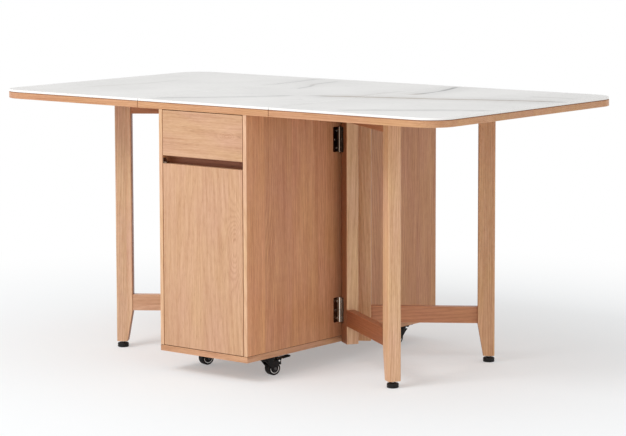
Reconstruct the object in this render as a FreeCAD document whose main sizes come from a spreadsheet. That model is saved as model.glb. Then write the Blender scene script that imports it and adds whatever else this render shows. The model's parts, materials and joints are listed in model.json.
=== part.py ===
"""Drop-leaf gate-leg dining table with a storage cabinet on castors.

Millimetres, +Z up. The origin is on the floor under the middle of the top. +X runs along
the table's length and the cabinet's front faces -Y. The rear half repeats the front half,
turned by half a turn about Z.
"""
import FreeCAD, Part
import os
import re
import Sketcher
from FreeCAD import Placement, Rotation, Vector

SIZES = {
    # table top: a fixed middle and two hinged leaves, each a wood panel under a stone slab
    "table_height": 750,
    "top_depth": 865,
    "middle_length": 465,
    "leaf_length": 545.5,
    "seam_gap": 2,
    "corner_radius": 78,
    "slab_thickness": 6,
    "slab_inset": 1,
    "panel_thickness": 19,
    # cabinet case
    "cabinet_width": 312,
    "top_end_overhang": 1,
    "base_thickness": 16,
    "side_thickness": 12,
    "divider_thickness": 12,
    "drawer_shelf_thickness": 16,
    "cupboard_shelf_thickness": 12,
    "cupboard_shelf_level": 250,
    "cupboard_shelf_setback": 45,
    "dado_depth": 4,
    "cleat_width": 16,
    "cleat_end_gap": 8,
    # fronts: a drawer front, the finger slot under it and a door
    "front_thickness": 16,
    "front_gap": 2,
    "front_round": 1,
    "drawer_front_height": 124,
    "slot_height": 22,
    "slot_depth": 31,
    # drawer box and its runners
    "drawer_back_gap": 38,
    "drawer_board": 12,
    "drawer_top_gap": 16.5,
    "drawer_side_lift": 6,
    "drawer_side_gap": 1,
    "drawer_floor_thickness": 6,
    "drawer_floor_lift": 8,
    "floor_housing": 5,
    "runner_thickness": 6,
    "runner_height": 15,
    "runner_lift": 40,
    "runner_clearance": 0.3,
    # door pivots
    "pivot_inset": 6,
    "pivot_radius": 2.5,
    "pivot_depth": 12,
    "pivot_clearance": 0.05,
    "hinge_edge_round": 2,
    "bracket_thickness": 2,
    "bracket_height": 12,
    "bracket_width": 14,
    # gates
    "folded_gate_gap": 3,
    "gate_setback": 33.7,
    "gate_thickness": 36,
    "stile_width": 48,
    "stile_lift": 1,
    "stile_end_gap": 1,
    "leg_toe_width": 32,
    "rail_thickness": 25,
    "top_rail_height": 43.5,
    "stretcher_height": 46,
    "stretcher_level": 109.5,
    "gate_top_clearance": 0.3,
    "post_round": 4,
    "rail_round": 1.5,
    "tenon_length": 22,
    "tenon_thickness": 9,
    "tenon_shoulder": 8,
    "tenon_clearance": 0.1,
    # how far each gate stands open, in degrees from folded
    "front_right_angle": 56.5,
    "rear_right_angle": 55.5,
    "front_left_angle": 55,
    "rear_left_angle": 55,
    # gate hinges
    "hinge_height": 70,
    "hinge_leaf_width": 24,
    "hinge_leaf_thickness": 2,
    "knuckle_radius": 3.5,
    "knuckle_gap": 0.3,
    "hinge_pin_radius": 1.8,
    "hinge_pin_clearance": 0.05,
    "hinge_pin_recess": 1,
    "upper_hinge_drop": 60.5,
    "lower_hinge_level": 115,
    # glides under the gate legs
    "glide_radius": 16.25,
    "glide_height": 13,
    "glide_bevel": 1.5,
    "glide_stem_show": 5.5,
    "glide_stem_radius": 3,
    "glide_stem_depth": 26,
    # hinges let into the underside of the top
    "leaf_hinge_inset": 148,
    "leaf_hinge_length": 60,
    "leaf_hinge_plate_width": 24,
    "leaf_hinge_plate_thickness": 2,
    "leaf_knuckle_radius": 3.5,
    "leaf_knuckle_length": 20,
    "leaf_hinge_clearance": 0.3,
    # castors
    "castor_side_inset": 36,
    "castor_end_inset": 130,
    "castor_trail": 14.5,
    "wheel_radius": 19,
    "wheel_width": 24,
    "wheel_round": 3,
    "hub_recess_radius": 14.5,
    "hub_recess_depth": 2,
    "axle_radius": 3,
    "axle_head_radius": 4.5,
    "axle_head_height": 1.5,
    "axle_clearance": 0.05,
    "cheek_gap": 1,
    "cheek_thickness": 2.5,
    "cheek_axle_margin": 6,
    "crown_thickness": 3,
    "crown_gap": 2.5,
    "fork_nose": 17,
    "race_radius": 15,
    "race_height": 11,
    "race_gap": 0.3,
    "kingpin_radius": 4,
    "kingpin_head_radius": 7,
    "kingpin_head_height": 2,
    "castor_plate_side": 60,
    "castor_plate_thickness": 2.5,
    "plate_bolt_across": 45,
    "plate_bolt_along": 16,
    "bolt_radius": 3,
    "bolt_length": 10,
    "bolt_head_radius": 5,
    "bolt_head_height": 5,
    # how far the castors are turned on their kingpins, in degrees from trailing to the front
    "front_castor_turn": 163,
    "rear_castor_turn": -12,
    # brake pedals of the two front castors
    "pedal_pivot_offset": 13,
    "pedal_boss_radius": 3.5,
    "pedal_pin_radius": 1.5,
    "pedal_width": 20,
    "pedal_thickness": 3,
    "pedal_reach": 42,
    "pedal_rise": 6,
    "brake_shoe_gap": 1.2,
    "brake_shoe_thickness": 4,
    "brake_shoe_slope": 26,
}

# Places and sizes that follow from the cells, each a formula of cells and of earlier names.
FORMULAS = {
    "slab_level": "table_height - slab_thickness",
    "underside": "slab_level - panel_thickness",
    "middle_edge": "middle_length / 2",
    "leaf_edge": "middle_edge + seam_gap",
    "seam_centre": "middle_edge + seam_gap / 2",
    "cabinet_depth": "top_depth - 2 * top_end_overhang",
    "crown_level": "2 * wheel_radius + crown_gap",
    "race_low": "crown_level + crown_thickness",
    "plate_level": "race_low + race_height",
    "castor_height": "plate_level + castor_plate_thickness",
    "base_top": "castor_height + base_thickness",
    "side_face": "cabinet_width / 2",
    "inner_face": "side_face - side_thickness",
    "inner_width": "2 * inner_face",
    "front_face": "cabinet_depth / 2",
    "front_width": "inner_width - 2 * front_gap",
    "drawer_bottom": "underside - front_gap - drawer_front_height",
    "door_top": "drawer_bottom - slot_height",
    "door_bottom": "base_top + front_gap",
    "divider_face": "divider_thickness / 2",
    "shelf_depth": "front_face - slot_depth - divider_face",
    "drawer_shelf_level": "door_top + (slot_height - drawer_shelf_thickness) / 2",
    "board_back": "front_face - front_thickness",
    "drawer_side_level": "drawer_shelf_level + drawer_shelf_thickness + drawer_side_lift",
    "drawer_side_top": "underside - cleat_width - drawer_top_gap",
    "drawer_side_height": "drawer_side_top - drawer_side_level",
    "drawer_length": "board_back - divider_face - drawer_back_gap",
    "drawer_outer": "inner_face - drawer_side_gap",
    "drawer_inner": "drawer_outer - drawer_board",
    "runner_level": "drawer_side_level + runner_lift",
    "cleat_length": "shelf_depth - 2 * cleat_end_gap",
    "pivot_across": "inner_face - front_gap - pivot_inset",
    "pivot_along": "front_face - pivot_inset",
    "bracket_level": "door_top + front_gap",
    "hinge_offset": "knuckle_radius + knuckle_gap",
    "gate_hinge_across": "side_face + hinge_offset",
    "gate_top": "underside - gate_top_clearance",
    "gate_reach": "front_face - gate_setback - folded_gate_gap",
    "stile_level": "castor_height + stile_lift",
    "leg_level": "glide_height + glide_stem_show",
    "upper_hinge_level": "underside - upper_hinge_drop - hinge_height",
    "leg_start": "gate_reach - stile_width",
    "rail_start": "stile_end_gap + stile_width",
    "rail_length": "leg_start - rail_start",
    "top_rail_level": "gate_top - top_rail_height",
    "leaf_hinge_station": "top_depth / 2 - leaf_hinge_inset",
    "leaf_pin_level": "underside + leaf_knuckle_radius",
    "kingpin_across": "side_face - castor_side_inset",
    "kingpin_along": "front_face - castor_end_inset",
    "race_middle": "race_low + race_height / 2",
    "pedal_pivot_back": "castor_trail + pedal_pivot_offset",
    "pedal_pivot_level": "race_low - pedal_boss_radius",
    "cheek_face": "wheel_width / 2 + cheek_gap",
    "shoe_radius": "wheel_radius + brake_shoe_gap",
}

# Edges shorter than SHORT run nowhere: a full circle starts and ends at one point.
SHORT = 1
# Two places closer than TOUCH are one place.
TOUCH = 0.001

ALONG_X = Rotation(Vector(0, 1, 0), 90)
ALONG_Y = Rotation(Vector(1, 0, 0), -90)
UPRIGHT = Rotation()

doc = FreeCAD.newDocument("drop_leaf_table")
sheet = doc.addObject("Spreadsheet::Sheet", "Sizes")
for row, (alias, number) in enumerate(SIZES.items(), start=1):
    sheet.set(f"A{row}", alias)
    sheet.set(f"B{row}", str(number))
    sheet.setAlias(f"B{row}", alias)
doc.recompute()

nodes = []


def formula(text):
    """The expression for a formula: each word becomes its cell or its own formula."""

    def swap(match):
        word = match.group(0)
        if word in SIZES:
            return f"Sizes.{word}"
        if word in FORMULAS:
            return f"({formula(FORMULAS[word])})"
        return word

    return re.sub(r"[a-z][a-z_]+", swap, str(text))


def bind(thing, path, text):
    """Binds one property of a document object to a formula."""
    thing.setExpression(path, formula(text))


def locate(thing, place, rotation=UPRIGHT):
    """Turns an object by a fixed rotation and binds its place to three formulas."""
    thing.Placement = Placement(Vector(), rotation)
    for axis, text in zip("xyz", place):
        if str(text) != "0":
            bind(thing, f"Placement.Base.{axis}", text)


def new_body(label):
    """An empty PartDesign body."""
    body = doc.addObject("PartDesign::Body", label)
    body.Label = label
    return body


def block(body, size, corner, cut=False):
    """A box added to or cut from a body, from its size and its lowest corner."""
    kind = "Subtractive" if cut else "Additive"
    feature = body.newObject(f"PartDesign::{kind}Box", f"{body.Label}_{kind.lower()}_block")
    for path, text in zip(("Length", "Width", "Height"), size):
        bind(feature, path, text)
    locate(feature, corner)
    return feature


def centred(body, size, middle, level, cut=False):
    """A box centred over a point: the size, the middle in X and Y and the lowest level."""
    low = [f"({m}) - ({s}) / 2" for m, s in zip(middle, size)]
    return block(body, size, (*low, level), cut)


def rod(body, radius, length, place, rotation=UPRIGHT, cut=False):
    """A round rod added to or cut from a body, from its radius, length and start."""
    kind = "Subtractive" if cut else "Additive"
    feature = body.newObject(f"PartDesign::{kind}Cylinder", f"{body.Label}_{kind.lower()}_rod")
    bind(feature, "Radius", radius)
    bind(feature, "Height", length)
    locate(feature, place, rotation)
    return feature


def edges_where(feature, test):
    """The names of a feature's edges whose two ends pass a test of their direction and middle."""
    names = []
    for index, edge in enumerate(feature.Shape.Edges, start=1):
        first, last = edge.Vertexes[0].Point, edge.Vertexes[-1].Point
        if test(last - first, (first + last) / 2):
            names.append(f"Edge{index}")
    return names


def dress(body, feature, kind, radius, test):
    """Rounds or bevels the edges of a feature that pass a test."""
    doc.recompute()
    dressing = body.newObject(f"PartDesign::{kind}", f"{body.Label}_{kind.lower()}")
    dressing.Base = (feature, edges_where(feature, test))
    bind(dressing, "Radius" if kind == "Fillet" else "Size", radius)
    return dressing


def upright(direction, middle):
    """True for an edge that runs up and down."""
    return abs(direction.z) > abs(direction.x) + abs(direction.y) + SHORT


def along_x(direction, middle):
    """True for an edge that runs along X."""
    return abs(direction.x) > SHORT and abs(direction.y) + abs(direction.z) < TOUCH


def outline(body, plane_role, points, offset):
    """A closed polygon on an origin plane, its corners bound to formulas."""
    plane = [f for f in body.Origin.OriginFeatures if f.Role == plane_role][0]
    sketch = body.newObject("Sketcher::SketchObject", f"{body.Label}_outline")
    sketch.AttachmentSupport = [(plane, "")]
    sketch.MapMode = "FlatFace"
    bind(sketch, "AttachmentOffset.Base.z", offset)
    first_guess = [Vector(*(float(sheet_value(text)) for text in point), 0) for point in points]
    count = len(points)
    for index in range(count):
        line = Part.LineSegment(first_guess[index], first_guess[(index + 1) % count])
        sketch.addGeometry(line)
    for index in range(count):
        sketch.addConstraint(Sketcher.Constraint("Coincident", index, 2, (index + 1) % count, 1))
    for index, point in enumerate(points):
        for kind, text in zip(("DistanceX", "DistanceY"), point):
            value = float(sheet_value(text))
            number = sketch.addConstraint(Sketcher.Constraint(kind, -1, 1, index, 1, value))
            bind(sketch, f"Constraints[{number}]", text)
    return sketch


def sheet_value(text):
    """The number that a formula gives with the sheet's present cells."""
    return sheet.evalExpression(formula(text))


def pad(body, sketch, length, backwards=False):
    """A sketch made solid along its normal, or against it."""
    feature = body.newObject("PartDesign::Pad", f"{body.Label}_pad")
    feature.Profile = sketch
    bind(feature, "Length", length)
    feature.Reversed = backwards
    return feature


def node(thing, label=None):
    """Counts a body or a group as one sub-part, under its label."""
    if label:
        thing.Label = label
    nodes.append(thing)
    return thing


def group(label, members):
    """Several separate solids that share one sub-part."""
    compound = doc.addObject("Part::Compound", label)
    compound.Links = members
    return node(compound, label)


# ------------------------------------------------------------------ the names of the halves

SIDES = {"left": -1, "right": 1}
ENDS = {"front": -1, "rear": 1}
GATES = {
    "front_right": (1, -1, "front_right_angle - 90"),
    "rear_right": (1, 1, "90 - rear_right_angle"),
    "front_left": (-1, -1, "-90 - front_left_angle"),
    "rear_left": (-1, 1, "90 + rear_left_angle"),
}
CASTORS = {name: (side, end) for name, (side, end, turn) in GATES.items()}
BOLT_PLACES = [
    (f"{across_sign} * plate_bolt_across / 2", f"{along_sign} * plate_bolt_along / 2")
    for across_sign in (-1, 1)
    for along_sign in (-1, 1)
]


def half_turn(thing, end):
    """Turns a piece that is modelled at the front to the rear, by half a turn about Z."""
    if end == "rear":
        thing.Placement = Placement(Vector(), Rotation(Vector(0, 0, 1), 180))


# ------------------------------------------------------------------ cabinet case


def base_panel():
    """The floor of the case, which carries the castors, with a hole for each door's pin."""
    body = new_body("base_panel")
    size = ("cabinet_width", "cabinet_depth", "base_thickness")
    centred(body, size, ("0", "0"), "castor_height")
    hole = "pivot_radius + pivot_clearance"
    for sign in (-1, 1):
        place = (f"{sign} * pivot_across", f"{sign} * pivot_along", "base_top - pivot_depth")
        rod(body, hole, "pivot_depth", place, cut=True)
    for side, end in CASTORS.values():
        for bolt_across, bolt_along in BOLT_PLACES:
            place = (f"{side} * kingpin_across + {bolt_across}",
                     f"{end} * kingpin_along + {bolt_along}", "castor_height")
            rod(body, "bolt_radius", "bolt_length", place, cut=True)
    node(body)


def side_panel(side):
    """One side of the case, with a dado for each cupboard shelf."""
    sign = SIDES[side]
    body = new_body(f"side_panel_{side}")
    middle = f"{sign} * (side_face + inner_face) / 2"
    size = ("side_thickness", "cabinet_depth", "underside - base_top")
    centred(body, size, (middle, "0"), "base_top")
    low = "inner_face" if sign > 0 else "-inner_face - dado_depth"
    for end in ENDS:
        depth = "shelf_depth - cupboard_shelf_setback"
        start = f"-divider_face - ({depth})" if end == "front" else "divider_face"
        dado = ("dado_depth", depth, "cupboard_shelf_thickness")
        block(body, dado, (low, start, "base_top + cupboard_shelf_level"), cut=True)
    node(body)


def centre_divider():
    """The upright panel between the front and the rear half of the case."""
    body = new_body("centre_divider")
    size = ("inner_width", "divider_thickness", "underside - base_top")
    centred(body, size, ("0", "0"), "base_top")
    node(body)


def drawer_shelves():
    """The shelf under each drawer, set back to leave the finger slot in front of it."""
    shelves = []
    for end in ENDS:
        body = new_body(f"drawer_shelf_{end}")
        start = "-divider_face - shelf_depth" if end == "front" else "divider_face"
        size = ("inner_width", "shelf_depth", "drawer_shelf_thickness")
        block(body, size, ("-inner_face", start, "drawer_shelf_level"))
        shelves.append(body)
    group("drawer_shelves", shelves)


def cupboard_shelves():
    """The shelf in each cupboard, housed in the dados of the side panels."""
    shelves = []
    for end in ENDS:
        body = new_body(f"cupboard_shelf_{end}")
        depth = "shelf_depth - cupboard_shelf_setback"
        start = f"-divider_face - ({depth})" if end == "front" else "divider_face"
        size = ("inner_width + 2 * dado_depth", depth, "cupboard_shelf_thickness")
        place = ("-inner_face - dado_depth", start, "base_top + cupboard_shelf_level")
        block(body, size, place)
        shelves.append(body)
    group("cupboard_shelves", shelves)


def top_cleats():
    """Battens in the upper corners of the case that hold the fixed middle of the top."""
    cleats = []
    for side, sign in SIDES.items():
        for end in ENDS:
            body = new_body(f"top_cleat_{end}_{side}")
            low = "inner_face - cleat_width" if sign > 0 else "-inner_face"
            gap = "divider_face + cleat_end_gap"
            start = f"-({gap}) - cleat_length" if end == "front" else gap
            size = ("cleat_width", "cleat_length", "cleat_width")
            block(body, size, (low, start, "underside - cleat_width"))
            cleats.append(body)
    group("top_cleats", cleats)


# ------------------------------------------------------------------ drawers and doors


def drawer(end):
    """One drawer: its front, and the box of two grooved sides, a back and a floor."""
    front = new_body(f"drawer_front_{end}")
    size = ("front_width", "front_thickness", "drawer_front_height")
    face = block(front, size, ("-front_width / 2", "-front_face", "drawer_bottom"))
    dress(front, face, "Fillet", "front_round", lambda d, m: at_front(face, m))
    half_turn(node(front), end)
    boards = []
    length = "drawer_length"
    groove = "runner_height + 2 * runner_clearance"
    for side, sign in SIDES.items():
        board = new_body(f"drawer_side_{end}_{side}")
        low = "drawer_inner" if sign > 0 else "-drawer_outer"
        size = ("drawer_board", length, "drawer_side_height")
        block(board, size, (low, "-board_back", "drawer_side_level"))
        depth = "runner_thickness - drawer_side_gap + runner_clearance"
        cut_low = f"drawer_outer - ({depth})" if sign > 0 else "-drawer_outer"
        level = "runner_level - runner_clearance"
        block(board, (depth, length, groove), (cut_low, "-board_back", level), cut=True)
        housing_low = "drawer_inner" if sign > 0 else "-drawer_inner - floor_housing"
        level = "drawer_side_level + drawer_floor_lift"
        housing = ("floor_housing", length, "drawer_floor_thickness")
        block(board, housing, (housing_low, "-board_back", level), cut=True)
        boards.append(board)
    back = new_body(f"drawer_back_{end}")
    level = "drawer_side_level + drawer_floor_lift + drawer_floor_thickness"
    height = "drawer_side_height - drawer_floor_lift - drawer_floor_thickness"
    size = ("2 * drawer_inner", "drawer_board", height)
    block(back, size, ("-drawer_inner", "-board_back + drawer_length - drawer_board", level))
    floor = new_body(f"drawer_floor_{end}")
    size = ("2 * (drawer_inner + floor_housing)", length, "drawer_floor_thickness")
    level = "drawer_side_level + drawer_floor_lift"
    block(floor, size, ("-drawer_inner - floor_housing", "-board_back", level))
    half_turn(group(f"drawer_box_{end}", [*boards, back, floor]), end)


def at_front(feature, middle):
    """True for a point in a feature's foremost face."""
    return abs(middle.y - feature.Shape.BoundBox.YMin) < TOUCH


def drawer_runners():
    """The strips on the case sides that the grooved drawer sides slide on."""
    strips = []
    for end in ENDS:
        for side, sign in SIDES.items():
            body = new_body(f"drawer_runner_{end}_{side}")
            low = "inner_face - runner_thickness" if sign > 0 else "-inner_face"
            start = "-board_back + runner_clearance"
            size = ("runner_thickness", "drawer_length - runner_clearance", "runner_height")
            block(body, size, (low, start, "runner_level"))
            half_turn(body, end)
            strips.append(body)
    group("drawer_runners", strips)


def door(end):
    """One door, bored at its hinge edge for the two pivot pins."""
    body = new_body(f"door_{end}")
    size = ("front_width", "front_thickness", "door_top - door_bottom")
    face = block(body, size, ("-front_width / 2", "-front_face", "door_bottom"))

    def hinge_arris(direction, middle):
        return upright(direction, middle) and middle.x < 0 and at_front(face, middle)

    def free_arris(direction, middle):
        return upright(direction, middle) and middle.x > 0 and at_front(face, middle)

    rounded = dress(body, face, "Fillet", "hinge_edge_round", hinge_arris)
    dress(body, rounded, "Fillet", "front_round", free_arris)
    radius = "pivot_radius + pivot_clearance"
    for level in ("door_bottom", "door_top - pivot_depth"):
        rod(body, radius, "pivot_depth", ("-pivot_across", "-pivot_along", level), cut=True)
    half_turn(node(body), end)


def door_pivots():
    """The fixed pins that the doors turn on: one in the base and one in a bracket above."""
    pieces = []
    for end in ENDS:
        pin = new_body(f"door_lower_pin_{end}")
        length = "2 * pivot_depth - front_gap"
        place = ("-pivot_across", "-pivot_along", "base_top - pivot_depth + front_gap")
        rod(pin, "pivot_radius", length, place)
        bracket = new_body(f"door_upper_bracket_{end}")
        depth = "pivot_inset + bracket_width / 2"
        size = ("bracket_width", depth, "bracket_thickness")
        block(bracket, size, ("-inner_face", "-front_face + front_gap", "bracket_level"))
        size = ("bracket_thickness", depth, "bracket_height")
        block(bracket, size, ("-inner_face", "-front_face + front_gap", "bracket_level"))
        length = "pivot_depth + bracket_thickness"
        level = "door_top - pivot_depth + front_gap"
        rod(bracket, "pivot_radius", length, ("-pivot_across", "-pivot_along", level))
        for piece in (pin, bracket):
            half_turn(piece, end)
            pieces.append(piece)
    group("door_pivots", pieces)


# ------------------------------------------------------------------ table top


def hinge_recess(body, side_sign, hinge_sign, edge, outward):
    """The recess in a panel's underside for one flap hinge: its plate and its knuckle."""
    station = f"{hinge_sign} * leaf_hinge_station"
    width = "leaf_hinge_plate_width + leaf_hinge_clearance"
    length = "leaf_hinge_length + 2 * leaf_hinge_clearance"
    plate = (width, length, "leaf_hinge_plate_thickness")
    notch_width = "leaf_knuckle_radius + leaf_hinge_clearance"
    notch = (notch_width, length, "2 * leaf_knuckle_radius + leaf_hinge_clearance")
    for size in (plate, notch):
        reach = f"({edge}) + ({size[0]})" if outward else f"({edge}) - ({size[0]})"
        low = edge if (outward == (side_sign > 0)) else reach
        corner = f"{side_sign} * ({low})"
        block(body, size, (corner, f"{station} - ({length}) / 2", "underside"), cut=True)


def middle_top():
    """The fixed middle of the top: a wood panel and the stone slab on it."""
    panel = new_body("middle_top_panel")
    centred(panel, ("middle_length", "top_depth", "panel_thickness"), ("0", "0"), "underside")
    for side_sign in SIDES.values():
        for hinge_sign in (-1, 1):
            hinge_recess(panel, side_sign, hinge_sign, "seam_centre", outward=False)
    node(panel)
    slab = new_body("middle_top_slab")
    size = ("middle_length", "top_depth - 2 * slab_inset", "slab_thickness")
    centred(slab, size, ("0", "0"), "slab_level")
    node(slab)


def leaf(side):
    """One hinged leaf of the top: a wood panel with round outer corners and its slab."""
    sign = SIDES[side]

    def outer(direction, middle):
        return upright(direction, middle) and sign * middle.x > sheet_value("leaf_edge") + SHORT

    panel = new_body(f"leaf_panel_{side}")
    low = "leaf_edge" if sign > 0 else "-leaf_edge - leaf_length"
    size = ("leaf_length", "top_depth", "panel_thickness")
    board = block(panel, size, (low, "-top_depth / 2", "underside"))
    dress(panel, board, "Fillet", "corner_radius", outer)
    for hinge_sign in (-1, 1):
        hinge_recess(panel, sign, hinge_sign, "seam_centre", outward=True)
    node(panel)
    slab = new_body(f"leaf_slab_{side}")
    low = "leaf_edge" if sign > 0 else "-leaf_edge - leaf_length + slab_inset"
    size = ("leaf_length - slab_inset", "top_depth - 2 * slab_inset", "slab_thickness")
    board = block(slab, size, (low, "-top_depth / 2 + slab_inset", "slab_level"))
    dress(slab, board, "Fillet", "corner_radius - slab_inset", outer)
    node(slab)


def leaf_hinges():
    """The flap hinges: fixed plates with their pins, and the plates that lift with a leaf."""
    fixed = []
    gap = "leaf_hinge_clearance"
    thickness = "leaf_hinge_plate_thickness"
    for side, sign in SIDES.items():
        moving = []
        for hinge_sign in (-1, 1):
            station = f"{hinge_sign} * leaf_hinge_station"
            low = f"{station} - leaf_hinge_length / 2"
            short = f"{station} - leaf_knuckle_length / 2"
            number = len(fixed) + 1
            plate = new_body(f"flap_hinge_plate_{number}")
            inner = f"{sign} * seam_centre" + (" - leaf_hinge_plate_width" if sign > 0 else "")
            size = ("leaf_hinge_plate_width", "leaf_hinge_length", thickness)
            block(plate, size, (inner, low, "underside"))
            centre = f"{sign} * seam_centre"
            place = (centre, low, "leaf_pin_level")
            rod(plate, "leaf_knuckle_radius", "leaf_hinge_length", place, ALONG_Y)
            gap_size = ("2 * leaf_knuckle_radius + 4 * leaf_hinge_clearance",
                        "leaf_knuckle_length + 2 * leaf_hinge_clearance",
                        "2 * leaf_knuckle_radius + 2 * leaf_hinge_clearance")
            place = (f"{centre} - leaf_knuckle_radius - 2 * {gap}",
                     f"{short} - {gap}", f"underside - {gap}")
            block(plate, gap_size, place, cut=True)
            pin_place = (centre, low, "leaf_pin_level")
            rod(plate, "leaf_knuckle_radius / 2", "leaf_hinge_length", pin_place, ALONG_Y)
            fixed.append(plate)
            swing = new_body(f"flap_hinge_wing_{number}")
            outer = f"{sign} * seam_centre" + ("" if sign > 0 else " - leaf_hinge_plate_width")
            block(swing, size, (outer, low, "underside"))
            place = (centre, short, "leaf_pin_level")
            for place_low in (low, f"{station} + leaf_knuckle_length / 2"):
                slot_length = "(leaf_hinge_length - leaf_knuckle_length) / 2"
                slot = ("2 * leaf_knuckle_radius + 2 * leaf_hinge_clearance", slot_length,
                        "2 * leaf_knuckle_radius")
                corner = (f"{centre} - leaf_knuckle_radius - {gap}", place_low, "underside")
                block(swing, slot, corner, cut=True)
            rod(swing, "leaf_knuckle_radius", "leaf_knuckle_length", place, ALONG_Y)
            bore = "leaf_knuckle_radius / 2 + hinge_pin_clearance"
            rod(swing, bore, "leaf_knuckle_length", place, ALONG_Y, cut=True)
            moving.append(swing)
        group(f"leaf_hinge_wings_{side}", moving)
    group("leaf_hinge_plates", fixed)


# ------------------------------------------------------------------ gates


def across(hand, low, width):
    """The low Y of a stretch that starts at low and is width wide, on the gate's own side."""
    return f"{low}" if hand > 0 else f"-({low}) - ({width})"


def set_open(thing, gate):
    """Stands a piece modelled along +X from its hinge axis in its gate's open place."""
    side, end, turn = GATES[gate]
    bind(thing, "Placement.Base.x", f"{side} * gate_hinge_across")
    bind(thing, "Placement.Base.y", f"{end} * gate_setback")
    bind(thing, "Placement.Rotation.Angle", turn)


def mortises(body, hand, start):
    """The two mortises that a post has for its rails, opening towards the rails."""
    pairs = (("top_rail_level", "top_rail_height"), ("stretcher_level", "stretcher_height"))
    for level, height in pairs:
        width = "tenon_thickness + 2 * tenon_clearance"
        low = "hinge_offset + (rail_thickness - tenon_thickness) / 2 - tenon_clearance"
        size = ("tenon_length", width, f"{height} - 2 * tenon_shoulder + 2 * tenon_clearance")
        level = f"{level} + tenon_shoulder - tenon_clearance"
        block(body, size, (start, across(hand, low, width), level), cut=True)


def gate_stile(gate, hand):
    """The post beside the cabinet that carries the gate's hinges."""
    body = new_body(f"stile_{gate}")
    size = ("stile_width", "gate_thickness", "gate_top - stile_level")
    place = ("stile_end_gap", across(hand, "hinge_offset", "gate_thickness"), "stile_level")
    post = block(body, size, place)
    dress(body, post, "Fillet", "post_round", upright)
    mortises(body, hand, "rail_start - tenon_length")
    set_open(node(body), gate)


def gate_leg(gate, hand):
    """The outer post: straight outside, and tapered inside below the stretcher."""
    body = new_body(f"leg_{gate}")
    points = [
        ("gate_reach", "leg_level"),
        ("gate_reach", "gate_top"),
        ("leg_start", "gate_top"),
        ("leg_start", "stretcher_level"),
        ("gate_reach - leg_toe_width", "leg_level"),
    ]
    offset = "-hinge_offset" if hand > 0 else "hinge_offset"
    post = pad(body, outline(body, "XZ_Plane", points, offset), "gate_thickness", hand > 0)
    dress(body, post, "Fillet", "post_round", upright)
    mortises(body, hand, "leg_start")
    middle = across(hand, "hinge_offset + gate_thickness / 2", "0")
    place = ("gate_reach - leg_toe_width / 2", middle, "leg_level")
    rod(body, "glide_stem_radius", "glide_stem_depth", place, cut=True)
    set_open(node(body), gate)


def gate_rail(gate, hand, name, level, height):
    """A rail between the two posts, with a tenon at each end."""
    body = new_body(f"{name}_{gate}")
    low = across(hand, "hinge_offset", "rail_thickness")
    bar = block(body, ("rail_length", "rail_thickness", height), ("rail_start", low, level))
    dress(body, bar, "Fillet", "rail_round", along_x)
    tenon_low = "hinge_offset + (rail_thickness - tenon_thickness) / 2"
    tenon_height = f"{height} - 2 * tenon_shoulder"
    reach = "tenon_length - tenon_clearance"
    for start in (f"rail_start - ({reach})", "leg_start"):
        size = (reach, "tenon_thickness", tenon_height)
        low = across(hand, tenon_low, "tenon_thickness")
        block(body, size, (start, low, f"{level} + tenon_shoulder"))
    set_open(node(body), gate)


def gate_glide(gate, hand):
    """The levelling glide: a round pad on a stem that is screwed into the leg."""
    body = new_body(f"glide_{gate}")
    middle = across(hand, "hinge_offset + gate_thickness / 2", "0")
    centre = ("gate_reach - leg_toe_width / 2", middle)
    disc = rod(body, "glide_radius", "glide_height", (*centre, "0"))
    dress(body, disc, "Chamfer", "glide_bevel", lambda d, m: m.z > SHORT and d.Length < SHORT)
    stem = "leg_level - glide_height + glide_stem_depth"
    rod(body, "glide_stem_radius", stem, (*centre, "glide_height"))
    set_open(node(body), gate)


def hinge_leaf(label, level, hand, moving):
    """One half of a lift-off hinge, along +X from its axis: a leaf and its knuckle."""
    body = new_body(label)
    half = "hinge_height / 2"
    offset = "hinge_offset - hinge_leaf_thickness" if moving else "-hinge_offset"
    low = across(hand, offset, "hinge_leaf_thickness")
    start = "hinge_offset"
    size = ("hinge_leaf_width - hinge_offset", "hinge_leaf_thickness", "hinge_height")
    block(body, size, (start, low, level))
    knuckle_level = f"{level} + {half} + knuckle_gap" if moving else level
    length = f"{half} - knuckle_gap" if moving else half
    block(body, ("hinge_offset", "hinge_leaf_thickness", length), ("0", low, knuckle_level))
    rod(body, "knuckle_radius", length, ("0", "0", knuckle_level))
    if moving:
        bore = "hinge_pin_radius + hinge_pin_clearance"
        rod(body, bore, length, ("0", "0", knuckle_level), cut=True)
    else:
        pin = "hinge_height - hinge_pin_recess"
        rod(body, "hinge_pin_radius", pin, ("0", "0", level))
    return body


def gate_hinges():
    """The moving leaves of each gate's two hinges, and the leaves fixed to the cabinet."""
    fixed = []
    levels = {"upper": "upper_hinge_level", "lower": "lower_hinge_level"}
    for gate, (side, end, turn) in GATES.items():
        hand = -side * end
        moving = []
        for name, level in levels.items():
            moving.append(hinge_leaf(f"{name}_hinge_wing_{gate}", level, hand, True))
            plate = hinge_leaf(f"{name}_hinge_plate_{gate}", level, hand, False)
            plate.Placement = Placement(Vector(), Rotation(Vector(0, 0, 1), 90 * end))
            bind(plate, "Placement.Base.x", f"{side} * gate_hinge_across")
            bind(plate, "Placement.Base.y", f"{end} * gate_setback")
            fixed.append(plate)
        set_open(group(f"hinge_wings_{gate}", moving), gate)
    group("gate_hinge_plates", fixed)


def gates():
    """The four gates that swing out to carry the leaves."""
    for gate, (side, end, turn) in GATES.items():
        hand = -side * end
        gate_stile(gate, hand)
        gate_leg(gate, hand)
        gate_rail(gate, hand, "top_rail", "top_rail_level", "top_rail_height")
        gate_rail(gate, hand, "stretcher", "stretcher_level", "stretcher_height")
        gate_glide(gate, hand)
    gate_hinges()


# ------------------------------------------------------------------ castors


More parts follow.
